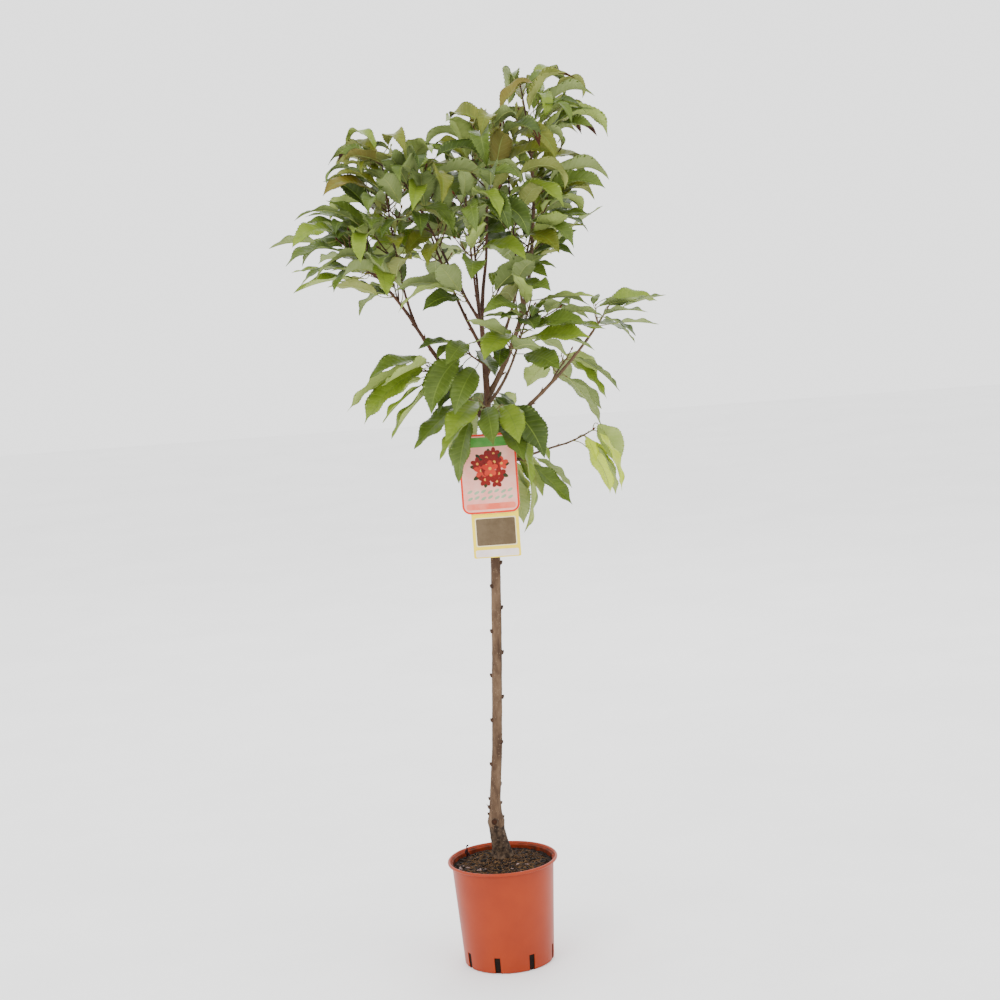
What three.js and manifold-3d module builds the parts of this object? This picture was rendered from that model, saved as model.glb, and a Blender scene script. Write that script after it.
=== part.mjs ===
// A young cherry tree, grafted on a bare stem and grown in a plastic nursery pot, with two hanging labels.
// Millimetres, +Z up. The origin is the middle of the pot's flat underside; -Y is the side it is shown from.
import * as THREE from 'three';
import { mergeVertices } from 'three/addons/utils/BufferGeometryUtils.js';
import Module from 'manifold-3d';

const wasm = await Module();
wasm.setup();

// Clear space left between two pieces that touch.
const SEAT = 0.3;

// Pot: a tapered plastic tub with a rolled lip and slots round its foot.
const POT = {
  foot: 89.2, shoulder: 101.6, height: 211, wall: 1.8, lip: 109.6, lipDrop: 7, round: 2.2, sides: 32,
};
const SLOT = { count: 8, first: -60.5, width: 10, height: 28, depth: 6 };
const SOIL = { edge: 197, seat: 203.7, seatRadius: 27, rings: 3, lumps: 2.4, seed: 5 };

// Trunk: height, lean to the right, lean to the back and diameter, from the soil up to the leader's wood.
const TRUNK = [
  [204, 0, 34, 44], [214, 0, 32, 36], [240, -4, 26, 29], [262, -7, 21, 29.5], [280, -8, 19, 34],
  [298, -7.5, 16.5, 26], [330, -6, 12.5, 21.5], [430, 5, 6, 20.5], [633, 19, 0, 20], [812, 29, 1, 19],
  [1049, 30, -2, 15.5], [1137, 36, 0, 13.5], [1279, 35, 2, 9], [1345, 43, 2, 6.8], [1400, 53, 1, 5.6],
  [1470, 59, 0, 4.8],
];
const TRUNK_SIDES = 9;
// Buds stand left and right in turn up the bare stem, and the graft has a sawn stub on its front. Each is a
// short knob, sunk in the wood by a share of its radius, that rises and narrows to its tip.
const BUD = { first: 311, gap: 45, count: 10, length: 3.2, radius: 2.6, swing: 40, seed: 3 };
const GRAFT_STUB = { height: 282, heading: 262, radius: 5.5, length: 3 };
const KNOB = { sunk: 0.4, tip: 0.5, rise: 0.5, sides: 5 };

// Boughs: the limb each leaves, where (a height on the trunk, a share of a bough's length), its heading
// (0 is right, 90 is back, 180 is left), its rise at foot and tip in degrees, length, and diameters.
const BOUGHS = {
  bough_left_low: { on: 'trunk', at: 1083, heading: 190, rise: [54, 62],
    length: 262, thick: [11, 6] },
  bough_left_up: { on: 'bough_left_low', at: 0.89, heading: 160, rise: [72, 80],
    length: 92, thick: [6, 4.2] },
  bough_left_centre: { on: 'trunk', at: 1276, heading: 205, rise: [58, 68],
    length: 140, thick: [6.5, 4.4] },
  bough_right_centre: { on: 'trunk', at: 1132, heading: 8, rise: [55, 83],
    length: 300, thick: [11, 6.4] },
  bough_centre_thin: { on: 'bough_right_centre', at: 0.62, heading: 205, rise: [84, 87],
    length: 90, thick: [5, 3.6] },
  bough_right_low: { on: 'trunk', at: 1050, heading: 350, rise: [33, 50],
    length: 275, thick: [9.5, 5] },
  bough_right_bottom: { on: 'trunk', at: 985, heading: 8, rise: [22, 10],
    length: 160, thick: [6.5, 3.6] },
  bough_back: { on: 'trunk', at: 1150, heading: 92, rise: [50, 70],
    length: 250, thick: [8, 4.6] },
  bough_front: { on: 'trunk', at: 1262, heading: 262, rise: [52, 70],
    length: 120, thick: [6.5, 4.2] },
  bough_back_left: { on: 'trunk', at: 1222, heading: 132, rise: [52, 64],
    length: 170, thick: [7.5, 4.6] },
  bough_back_right: { on: 'trunk', at: 1172, heading: 46, rise: [48, 66],
    length: 200, thick: [8, 4.8] },
  bough_front_right: { on: 'trunk', at: 1118, heading: 312, rise: [36, 58],
    length: 120, thick: [7.5, 4.6] },
};
const BOUGH_SIDES = 6;
const LIMB_STEPS = 6;

// Masses of foliage: a stem that carries on from a bough's tip or leaves a limb's side, its side twigs, the
// gap between leaves, how far a leaf's tip may be from the stem, and the seed of its rule. outward pulls the
// leaves away from the trunk, lift tilts them up, and leaf is their length where it isn't the usual one.
const MASSES = {
  leaves_left_out: { on: 'bough_left_low', at: 1, heading: 188, rise: [58, 44], length: 195,
    twigs: 4, gap: 20, reach: 185, outward: 0.8, seed: 260 },
  leaves_left_up: { on: 'bough_left_up', at: 1, heading: 170, rise: [82, 88], length: 240,
    twigs: 5, gap: 22, reach: 185, outward: 0.6, seed: 251 },
  leaves_left_centre: { on: 'bough_left_centre', at: 1, heading: 195, rise: [68, 62], length: 185,
    twigs: 4, gap: 19, reach: 175, seed: 360 },
  leaves_leader: { on: 'trunk', at: 1470, heading: 60, rise: [82, 90], length: 175,
    twigs: 4, gap: 21, reach: 175, seed: 488 },
  leaves_right_top: { on: 'bough_right_centre', at: 1, heading: 20, rise: [81, 99], length: 310,
    twigs: 5, gap: 21, reach: 185, seed: 434 },
  leaves_centre_thin: { on: 'bough_centre_thin', at: 1, heading: 205, rise: [88, 89], length: 265,
    twigs: 2, gap: 24, reach: 160, seed: 55 },
  leaves_right_out: { on: 'bough_right_low', at: 1, heading: 350, rise: [50, 57], length: 85,
    twigs: 0, gap: 14, reach: 150, outward: 0.5, lift: -24, leaf: 100, seed: 189 },
  leaves_right_bottom: { on: 'bough_right_bottom', at: 1, heading: 8, rise: [16, 28], length: 60,
    twigs: 0, gap: 12, reach: 150, outward: 0.8, seed: 372 },
  leaves_right_mid: { on: 'bough_right_low', at: 0.62, heading: 60, rise: [40, 20], length: 60,
    twigs: 0, gap: 10, reach: 150, lift: -14, seed: 99 },
  leaves_back: { on: 'bough_back', at: 1, heading: 92, rise: [70, 82], length: 200,
    twigs: 4, gap: 30, reach: 175, seed: 248 },
  leaves_fork: { on: 'bough_left_centre', at: 0.3, heading: 250, rise: [40, 50], length: 55,
    twigs: 0, gap: 11, reach: 150, seed: 235 },
  leaves_trunk_mid: { on: 'trunk', at: 1196, heading: 222, rise: [30, 36], length: 60,
    twigs: 0, gap: 11, reach: 150, lift: -8, seed: 381 },
  leaves_fork_right: { on: 'trunk', at: 1296, heading: 20, rise: [40, 55], length: 60,
    twigs: 0, gap: 11, reach: 150, seed: 215 },
  leaves_front: { on: 'bough_front', at: 1, heading: 262, rise: [70, 84], length: 190,
    twigs: 3, gap: 21, reach: 165, seed: 165 },
  leaves_back_left: { on: 'bough_back_left', at: 1, heading: 132, rise: [60, 76], length: 210,
    twigs: 4, gap: 25, reach: 175, seed: 103 },
  leaves_back_right: { on: 'bough_back_right', at: 1, heading: 46, rise: [60, 76], length: 210,
    twigs: 4, gap: 25, reach: 175, seed: 275 },
  leaves_front_right: { on: 'bough_front_right', at: 1, heading: 312, rise: [58, 66], length: 130,
    twigs: 3, gap: 22, reach: 165, seed: 101 },
  leaves_skirt_left: { on: 'bough_left_low', at: 0.5, heading: 222, rise: [0, 10], length: 56,
    twigs: 0, gap: 6, reach: 170, leaf: 142, seed: 228 },
  leaves_skirt_front: { on: 'trunk', at: 1112, heading: 232, rise: [10, 10], length: 44,
    twigs: 0, gap: 7, reach: 160, seed: 502 },
  leaves_skirt_right: { on: 'trunk', at: 1100, heading: 330, rise: [14, 10], length: 50,
    twigs: 0, gap: 7, reach: 160, seed: 45 },
  leaves_skirt_low: { on: 'trunk', at: 1012, heading: 24, rise: [6, -24], length: 78,
    twigs: 0, gap: 8, reach: 165, lift: -6, seed: 66 },
  leaves_skirt_back: { on: 'trunk', at: 1100, heading: 96, rise: [14, 14], length: 60,
    twigs: 0, gap: 9, reach: 160, seed: 329 },
};
const STEM_SIDES = 4;
const SPUR_FOOT = 4.8;
const STEM_TIP = 2.6;
// The share of a stem that stays bare at its foot: more on a spur, a stem no longer than this.
const STEM_BARE = 0.12;
const SPUR_BARE = 0.25;
const SPUR_LENGTH = 90;

// Side twigs of a mass: where on the stem, by shares of it; how far round and off the stem they lean and how
// much they turn up, in degrees; length and its range; and diameters. A twig's foot is bare for a share.
const TWIG = {
  first: 0.08, span: 0.66, place: [0.3, 0.7], swing: [-15, 15], lean: [48, 62], up: 18, length: 75,
  size: [0.75, 1.25], foot: 3, tip: 2, room: 2, steps: 2, sides: 3, bare: 0.3,
};

// Leaves are set round the shoot by the golden angle, and turned outward from the tree's axis, given by its
// place across and behind the origin. Each is a stalk and a pointed blade folded along its midrib.
const GOLDEN_ANGLE = 137.5;
const TREE_AXIS = [34, 0];
const LEAF = { length: 128, stalk: 30, stalkWidth: 1.8, thick: 2, rim: 0.8, outward: 0.35, steps: 8 };
const LEAF_STATIONS = [0.22, 0.52, 0.82];
// What a leaf's own draws vary: the stalk's lean off the shoot and its length, the swing round the shoot, the
// blade's length, lift, droop, sweep, roll, fold and width as a share of its length.
const LEAF_RANGE = {
  lean: [46, 64], stalk: [0.8, 1.2], swing: [-12, 12], size: [0.86, 1.16], lift: [-20, 20],
  droop: [0.25, 1.75], sweep: [-25, 25], roll: [-35, 35], fold: [6, 20], slim: [-0.05, 0.05],
};
const LEAF_DRAWS = ['sizing', 'sweep', 'roll', 'angle', 'lifting', 'drooping', 'widening'];
// A blade's rise follows its stalk's by a share, within limits, and the stalk bends towards the blade.
const RISE = { follow: 0.3, least: -85, most: 80 };
const STALK_BEND = 0.6;
// How leaves hang at a height: lift at the foot, droop along the blade, width as a share of length.
const POSTURE = [
  [960, -52, 24, 0.43], [1160, -32, 34, 0.43], [1290, 24, 44, 0.4],
  [1520, 30, 62, 0.36], [1720, 42, 106, 0.31],
];

// Room kept round a leaf: to leaves of its own mass, to everything else, and to its own stem. A leaf that has
// no room is turned round the shoot and tried again.
const ROOM = { own: 7, other: 12, stem: 3 };
const TRIES = 5;
const TRY_TURN = 67;
const SAMPLE_GAP = 12;
const SAMPLE_SHARES = [0.08, 0.22, 0.36, 0.5, 0.64, 0.78, 0.94];
const SAMPLE_REACH = 0.8;
const STALK_SHARES = [0.5, 0.85];
// Corners closer than this to where they would lie anyway are dropped from a joined mass.
const JOIN_TOLERANCE = 0.1;

// Labels: printed cards that hang in front of the trunk, each on a strap round it.
const LABELS = {
  label_front: { middle: 28, width: 112, bottom: 908, top: 1064, front: -18,
    curl: 3.5, corner: 16, strap: 1066.5, look: 'card' },
  label_back: { middle: 34, width: 92, bottom: 820, top: 1034, front: -13.6,
    curl: 0, corner: 3, strap: 1037, look: 'yellow' },
};
const CARD = {
  thick: 0.8, columns: 8, slack: 0.7, strapHeight: 6, strapSides: 14, tab: 12, tabDrop: 6, grid: 14, room: 3,
};

const COLOURS = {
  pot: [0xb8583a, 0.45], soil: [0x3a2417, 0.95], bark: [0x85705c, 0.8], leaf: [0x5f7436, 0.55],
  card: [0xe0745a, 0.35], yellow: [0xe6cf5a, 0.4],
};

// Small vector sums on [x, y, z].
const radians = (degrees) => degrees * Math.PI / 180;
const degrees = (angle) => angle * 180 / Math.PI;
const plus = (a, b, times = 1) => [a[0] + b[0] * times, a[1] + b[1] * times, a[2] + b[2] * times];
const dot = (a, b) => a[0] * b[0] + a[1] * b[1] + a[2] * b[2];
const size = (a) => Math.sqrt(dot(a, a));
const unit = (a) => a.map((value) => value / size(a));
const cross = (a, b) => [a[1] * b[2] - a[2] * b[1], a[2] * b[0] - a[0] * b[2], a[0] * b[1] - a[1] * b[0]];
const distance = (a, b) => size(plus(a, b, -1));
const between = (a, b, share) => a + (b - a) * share;
const within = (range, share) => between(range[0], range[1], share);
const mix = (a, b, share) => a.map((value, k) => between(value, b[k], share));

// A stream of even draws from 0 to 1, the same for the same seed.
function draws(seed) {
  const span = 4294967296;
  let state = (seed * 2654435761) % span;
  const draw = () => {
    state = (state * 1664525 + 1013904223) % span;
    return state / span;
  };
  draw();
  draw();
  return draw;
}

// A curve whose heading and rise change evenly along it.
function arc(start, heading, turn, rise, tipRise, length, steps) {
  const points = [start];
  const step = length / steps;
  for (let i = 0; i < steps; i += 1) {
    const share = (i + 0.5) / steps;
    const round = radians(heading + turn * share);
    const up = radians(between(rise, tipRise, share));
    const way = [Math.cos(up) * Math.cos(round), Math.cos(up) * Math.sin(round), Math.sin(up)];
    points.push(plus(points[i], way, step));
  }
  return points;
}

// The point at a share of a route, and the way the route runs there.
function along(points, share) {
  const place = Math.min(Math.max(share, 0), 1) * (points.length - 1);
  const i = Math.min(Math.floor(place), points.length - 2);
  const step = plus(points[i + 1], points[i], -1);
  return { point: plus(points[i], step, place - i), way: unit(step) };
}

// The row of a table at a height, with its values worked out between the two rows that lie round it.
function rowAt(table, height) {
  const z = Math.min(Math.max(height, table[0][0]), table[table.length - 1][0]);
  const next = table.findIndex((row) => z <= row[0]);
  const upper = Math.max(next, 1);
  const share = (z - table[upper - 1][0]) / (table[upper][0] - table[upper - 1][0]);
  return mix(table[upper - 1], table[upper], share);
}

// A closed solid from corners and triangles given as triples of corner numbers.
function solidFrom(corners, triangles) {
  const mesh = new wasm.Mesh({
    numProp: 3, vertProperties: new Float32Array(corners.flat()), triVerts: new Uint32Array(triangles.flat()),
  });
  return new wasm.Manifold(mesh);
}

// A closed solid from a three.js geometry, its shared corners merged and its empty triangles dropped.
function solidOf(geometry) {
  geometry.deleteAttribute('normal');
  geometry.deleteAttribute('uv');
  const merged = mergeVertices(geometry, 1e-4);
  const place = merged.getAttribute('position');
  const corners = [...Array(place.count).keys()].map((i) => [place.getX(i), place.getY(i), place.getZ(i)]);
  const triangles = [];
  for (let i = 0; i < merged.index.count; i += 3) {
    const [a, b, c] = [0, 1, 2].map((k) => merged.index.getX(i + k));
    if (a !== b && b !== c && c !== a) triangles.push([a, b, c]);
  }
  return solidFrom(corners, triangles);
}

// A closed skin over a row of rings of corners, which run anticlockwise seen from the last ring.
function loft(rings, tip) {
  const count = rings[0].length;
  const corners = rings.flat();
  const triangles = [];
  for (let i = 2; i < count; i += 1) triangles.push([0, i, i - 1]);
  for (let r = 0; r + 1 < rings.length; r += 1) {
    for (let i = 0; i < count; i += 1) {
      const [a, b] = [r * count + i, r * count + (i + 1) % count];
      triangles.push([a, b, b + count], [a, b + count, a + count]);
    }
  }
  const last = (rings.length - 1) * count;
  if (tip) {
    corners.push(tip);
    for (let i = 0; i < count; i += 1) triangles.push([last + i, last + (i + 1) % count, corners.length - 1]);
  } else {
    for (let i = 2; i < count; i += 1) triangles.push([last, last + i - 1, last + i]);
  }
  return solidFrom(corners, triangles);
}

// A round limb along a route, with a radius at each point and its foot cut square to footWay.
function limbSolid(points, radii, sides, footWay) {
  let side = [1, 0, 0];
  const rings = points.map((point, i) => {
    const before = i > 0 ? plus(point, points[i - 1], -1) : plus(points[1], point, -1);
    const after = i + 1 < points.length ? plus(points[i + 1], point, -1) : before;
    const way = i === 0 && footWay ? footWay : unit(plus(unit(before), unit(after)));
    if (Math.abs(dot(side, way)) > 0.95) side = [0, 1, 0];
    side = unit(plus(side, way, -dot(side, way)));
    const over = cross(way, side);
    return [...Array(sides).keys()].map((k) => {
      const round = 2 * Math.PI * k / sides;
      return plus(plus(point, side, radii[i] * Math.cos(round)), over, radii[i] * Math.sin(round));
    });
  });
  return loft(rings);
}

const shapes = {};
const join = (solids) => wasm.Manifold.union(solids);

// Pot
function lathe(profile, sides) {
  const points = profile.map(([r, z]) => new THREE.Vector2(r, z));
  return new THREE.LatheGeometry(points, sides).rotateX(Math.PI / 2);
}
const wallRadius = (z) => between(POT.foot, POT.shoulder, z / (POT.height - POT.lipDrop)) - POT.wall;

function potSolid() {
  const { foot, shoulder, height, wall, lip, lipDrop, round } = POT;
  const under = height - lipDrop;
  const profile = [
    [0, 0], [foot - round, 0], [foot, round], [shoulder, under], [lip, under + round / 2],
    [lip, height - round], [lip - round, height], [shoulder + round, height],
    [wallRadius(under), under], [wallRadius(wall), wall], [0, wall],
  ];
  const slots = [...Array(SLOT.count).keys()].map((i) => {
    const cut = new THREE.BoxGeometry(2 * SLOT.depth, SLOT.width, SLOT.height * 2)
      .translate(foot, 0, 0)
      .rotateZ(radians(SLOT.first - 90 + 360 / SLOT.count * i));
    return solidOf(cut);
  });
  return solidOf(lathe(profile, POT.sides)).subtract(join(slots));
}
shapes.pot = { solid: potSolid(), look: 'pot' };

// Soil: it fills the pot to a little below the lip, lumpy, with a level seat under the trunk's foot.
function soilSolid() {
  const draw = draws(SOIL.seed);
  const [, seatX, seatY] = TRUNK[0];
  const ring = (radius, z) => [...Array(POT.sides).keys()].map((k) => {
    const round = 2 * Math.PI * k / POT.sides;
    return [radius * Math.cos(round), radius * Math.sin(round), z];
  });
  const floor = POT.wall + SEAT;
  const edge = ring(wallRadius(SOIL.edge) - SEAT, SOIL.edge);
  const seat = ring(SOIL.seatRadius, SOIL.seat).map(([x, y, z]) => [x + seatX, y + seatY, z]);
  const rings = [ring(wallRadius(floor) - SEAT, floor), edge];
  for (let r = 1; r < SOIL.rings; r += 1) {
    const level = edge.map((corner, k) => mix(corner, seat[k], r / SOIL.rings));
    rings.push(level.map((corner) => plus(corner, [0, 0, SOIL.lumps * draw()])));
  }
  rings.push(seat);
  return loft(rings);
}
shapes.soil = { solid: soilSolid(), look: 'soil' };

// Trunk, with its buds and the stub left at the graft
const trunkAt = (height) => {
  const [z, x, y, thick] = rowAt(TRUNK, height);
  return { point: [x, y, z], radius: thick / 2 };
};
const routes = {
  trunk: {
    points: TRUNK.map(([z, x, y]) => [x, y, z]), radii: TRUNK.map((row) => row[3] / 2), sides: TRUNK_SIDES,
  },
};

function knob(height, heading, radius, length) {
  const { point, radius: wood } = trunkAt(height);
  const round = radians(heading);
  const way = [Math.cos(round), Math.sin(round), 0];
  const foot = plus(point, way, wood * (1 - KNOB.sunk));
  const tip = plus(plus(point, way, wood + length), [0, 0, length * KNOB.rise]);
  return limbSolid([foot, tip], [radius, radius * KNOB.tip], KNOB.sides);
}

function trunkSolid() {
  const draw = draws(BUD.seed);
  const parts = [limbSolid(routes.trunk.points, routes.trunk.radii, TRUNK_SIDES, [0, 0, 1])];
  for (let i = 0; i < BUD.count; i += 1) {
    const heading = (i % 2 ? 0 : 180) + BUD.swing * (2 * draw() - 1);
    parts.push(knob(BUD.first + BUD.gap * i, heading, BUD.radius, BUD.length));
  }
  parts.push(knob(GRAFT_STUB.height, GRAFT_STUB.heading, GRAFT_STUB.radius, GRAFT_STUB.length));
  return join(parts);
}
shapes.trunk = { solid: trunkSolid(), look: 'bark' };

// Boughs and the stems of the masses: where each starts, and its route.
const footOf = ({ on, at }) => (on === 'trunk' ? trunkAt(at).point : along(routes[on].points, at).point);
const onTip = ({ on, at }) => (on === 'trunk' ? at === TRUNK[TRUNK.length - 1][0] : at === 1);

function addRoute(name, limb, footRadius, tipRadius, sides) {
  const points = arc(footOf(limb), limb.heading, 0, limb.rise[0], limb.rise[1], limb.length, LIMB_STEPS);
  const radii = points.map((point, i) => between(footRadius, tipRadius, i / LIMB_STEPS));
  routes[name] = { points, radii, sides };
}
for (const [name, bough] of Object.entries(BOUGHS)) {
  addRoute(name, bough, bough.thick[0] / 2, bough.thick[1] / 2, BOUGH_SIDES);
}
for (const [name, mass] of Object.entries(MASSES)) {
  const foot = onTip(mass) ? routes[mass.on].radii[routes[mass.on].radii.length - 1] : SPUR_FOOT / 2;
  addRoute(name, mass, foot, STEM_TIP / 2, STEM_SIDES);
}

// A limb along its route. One that carries on from another's tip starts a seat's gap away from it.
function limbOf(name, limb) {
  const { points, radii, sides } = routes[name];
  if (!onTip(limb)) return limbSolid(points, radii, sides);
  const way = along(routes[limb.on].points, 1).way;
  return limbSolid([plus(points[0], way, SEAT), ...points.slice(1)], radii, sides, way);
}

// The largest piece of a solid, without the hollows and scraps that joining and cutting leave.
function wholeOf(solid) {
  return solid.decompose().reduce((largest, piece) => (piece.volume() > largest.volume() ? piece : largest));
}

// A limb that leaves another's side ends at the other's skin, a seat's gap away.
function seated(solid, limb) {
  if (onTip(limb)) return wholeOf(solid);
  const { points, radii, sides } = routes[limb.on];
  const foot = limb.on === 'trunk' ? [0, 0, 1] : undefined;
  return wholeOf(solid.subtract(limbSolid(points, radii.map((radius) => radius + SEAT), sides, foot)));
}
for (const [name, bough] of Object.entries(BOUGHS)) {
  shapes[name] = { solid: seated(limbOf(name, bough), bough), look: 'bark' };
}

// Labels: printed cards on straps round the trunk, in front of it.
function card(label) {
  const rings = [];
  for (let i = 0; i <= CARD.columns; i += 1) {
    const share = i / CARD.columns;
    const x = label.middle + label.width * (share - 0.5);
    const fromEnd = Math.min(share, 1 - share) * label.width;
    const missing = Math.max(0, 1 - fromEnd / label.corner);
    const drop = label.corner * (1 - Math.sqrt(1 - missing * missing));
    const y = label.front + label.curl * (2 * share - 1) ** 2;
    rings.push([
      [x, y, label.bottom + drop], [x, y + CARD.thick, label.bottom + drop],
      [x, y + CARD.thick, label.top - drop], [x, y, label.top - drop],
    ]);
  }
  return loft(rings);
}

function strap(label) {
  const { point, radius } = trunkAt(label.strap);
  const inner = radius + CARD.slack;
  const outer = inner + CARD.thick;
  const half = CARD.strapHeight / 2;
  const profile = [[inner, -half], [outer, -half], [outer, half], [inner, half], [inner, -half]];
  const band = lathe(profile, CARD.strapSides).translate(...point);
  const depth = point[1] - (inner + outer) / 2 - label.front;
  const foot = label.top - CARD.tabDrop;
  const head = label.strap + half;
  const tab = new THREE.BoxGeometry(CARD.tab, depth, head - foot)
    .translate(point[0], label.front + depth / 2, (head + foot) / 2);
  return join([solidOf(band), solidOf(tab)]);
}
for (const [name, label] of Object.entries(LABELS)) {
  shapes[name] = { solid: join([card(label), strap(label)]), look: label.look };
}

// The crowd of points that a new twig or leaf keeps clear of. A mass's stem and twigs are its wood.
const crowd = [];
function addCrowd(points, rooms, owner) {
  points.forEach((point, i) => crowd.push({ point, room: rooms[i], owner }));
}
function isClear(points, mass, stemRoom) {
  return crowd.every(({ point, room, owner }) => {
    const spare = owner === mass ? ROOM.own : owner === `${mass} wood` ? stemRoom : ROOM.other;
    return points.every((own) => distance(own, point) >= room + spare);
  });
}

// Points along a limb, close enough that a leaf can't slip between them.
function limbSamples({ points, radii }) {
  const samples = { points: [], rooms: [] };
  for (let i = 0; i + 1 < points.length; i += 1) {
    const count = Math.max(1, Math.ceil(distance(points[i], points[i + 1]) / SAMPLE_GAP));
    for (let k = 0; k < count; k += 1) {
      samples.points.push(mix(points[i], points[i + 1], k / count));
      samples.rooms.push(between(radii[i], radii[i + 1], k / count));
    }
  }
  samples.points.push(points[points.length - 1]);
  samples.rooms.push(radii[radii.length - 1]);
  return samples;
}
for (const [name, route] of Object.entries(routes)) {
  const { points, rooms } = limbSamples(route);
  addCrowd(points, rooms, name in MASSES ? `${name} wood` : 'limb');
}
for (const label of Object.values(LABELS)) {
  for (let x = label.middle - label.width / 2; x <= label.middle + label.width / 2; x += CARD.grid) {
    for (let z = label.bottom; z <= label.top; z += CARD.grid) {
      addCrowd([[x, label.front, z]], [CARD.room], 'label');
    }
  }
}

// A way leant off another by an angle, to the side given by an angle round it.
function leant(way, around, lean) {
  const side = unit(Math.abs(way[2]) < 0.999 ? cross(way, [0, 0, 1]) : [1, 0, 0]);
  const other = cross(side, way);
  const out = plus(side.map((value) => value * Math.cos(radians(around))), other, Math.sin(radians(around)));
  return unit(plus(way.map((value) => value * Math.cos(radians(lean))), out, Math.sin(radians(lean))));
}

// Leaves are longest in the middle of a shoot and shorter at its ends.
const lengthAlong = (share) => 0.78 + 0.22 * Math.sin(Math.PI * (0.15 + 0.7 * share));

// A leaf on a shoot: its stalk leans off the shoot, and its blade turns outward, rises and droops.
function leafOn(points, share, around, sizes, mass) {
  const { point, way } = along(points, share);
  const [, liftAt, droopAt, slimAt] = rowAt(POSTURE, point[2]);
  const stalkWay = leant(way, around, within(LEAF_RANGE.lean, sizes.angle));
  const off = [point[0] - TREE_AXIS[0], point[1] - TREE_AXIS[1]];
  const far = Math.sqrt(off[0] * off[0] + off[1] * off[1]) + 1;
  const pull = mass.outward ?? LEAF.outward;
  const heading = degrees(Math.atan2(stalkWay[1] + pull * off[1] / far, stalkWay[0] + pull * off[0] / far));
  const length = (mass.leaf ?? LEAF.length) * lengthAlong(share) * within(LEAF_RANGE.size, sizes.sizing);
  const lift = liftAt + (mass.lift ?? 0) + within(LEAF_RANGE.lift, sizes.lifting);
  const lean = degrees(Math.asin(stalkWay[2])) * RISE.follow + lift;
  const rise = Math.min(Math.max(lean, RISE.least), RISE.most);
  const droop = droopAt * within(LEAF_RANGE.droop, sizes.drooping);
  const round = radians(heading);
  const level = Math.cos(radians(rise));
  const blade = [level * Math.cos(round), level * Math.sin(round), Math.sin(radians(rise))];
  const stalk = unit(plus(stalkWay, blade, STALK_BEND));
  const base = plus(point, stalk, LEAF.stalk * within(LEAF_RANGE.stalk, sizes.angle));
  const turn = within(LEAF_RANGE.sweep, sizes.sweep);
  return {
    point, base, stalk, heading, turn, roll: within(LEAF_RANGE.roll, sizes.roll),
    fold: within(LEAF_RANGE.fold, sizes.widening),
    width: length * (slimAt + within(LEAF_RANGE.slim, sizes.widening)),
    route: arc(base, heading, turn, rise, rise - droop, length, LEAF.steps),
  };
}

// Half width of a blade along it, 1 at its widest, drawn out to a point.
const spread = (share) => Math.sin(Math.PI * share ** 0.93) ** 0.9 * (1 - 0.3 * share ** 6);

// Middle, left edge and right edge of a blade at a share of its length, and its upper side's way.
function bladeAt(leaf, share, reach = 1) {
  const { point: middle, way } = along(leaf.route, share);
  const round = radians(leaf.heading + leaf.turn * share);
  const level = [-Math.sin(round), Math.cos(round), 0];
  const over = cross(way, level);
  const roll = radians(leaf.roll);
  const side = plus(level.map((value) => value * Math.cos(roll)), over, Math.sin(roll));
  const up = cross(way, side);
  const half = leaf.width / 2 * spread(share) * reach;
  const raised = plus(middle, up, half * Math.tan(radians(leaf.fold)));
  return { middle, up, side, left: plus(raised, side, half), right: plus(raised, side, -half) };
}

function leafSamples(leaf) {
  const samples = STALK_SHARES.map((share) => mix(leaf.point, leaf.base, share));
  for (const share of SAMPLE_SHARES) {
    const { left, middle, right } = bladeAt(leaf, share, SAMPLE_REACH);
    samples.push(right, middle, left);
  }
  return samples;
}

// A leaf's solid: a thin three-cornered stalk that opens into a blade, deepest along its midrib.
function leafSolid(leaf) {
  const corners = (middle, side, up, half, raise) => [
    plus(plus(middle, side, -half), up, raise), plus(middle, up, -LEAF.thick / 2),
    plus(plus(middle, side, half), up, raise),
  ];
  const first = bladeAt(leaf, 0);
  const square = (way) => {
    const side = unit(plus(first.side, way, -dot(first.side, way)));
    return { side, up: cross(way, side) };
  };
  const root = square(leaf.stalk);
  const bend = square(unit(plus(leaf.stalk, along(leaf.route, 0).way)));
  const thin = LEAF.stalkWidth / 2;
  const rings = [
    corners(leaf.point, root.side, root.up, thin, thin), corners(leaf.base, bend.side, bend.up, thin, thin),
  ];
  for (const share of LEAF_STATIONS) {
    const { middle, up, side } = bladeAt(leaf, share);
    const half = leaf.width / 2 * spread(share);
    rings.push(corners(middle, side, up, half, half * Math.tan(radians(leaf.fold)) + LEAF.rim));
  }
  return loft(rings, leaf.route[LEAF.steps]);
}

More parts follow.
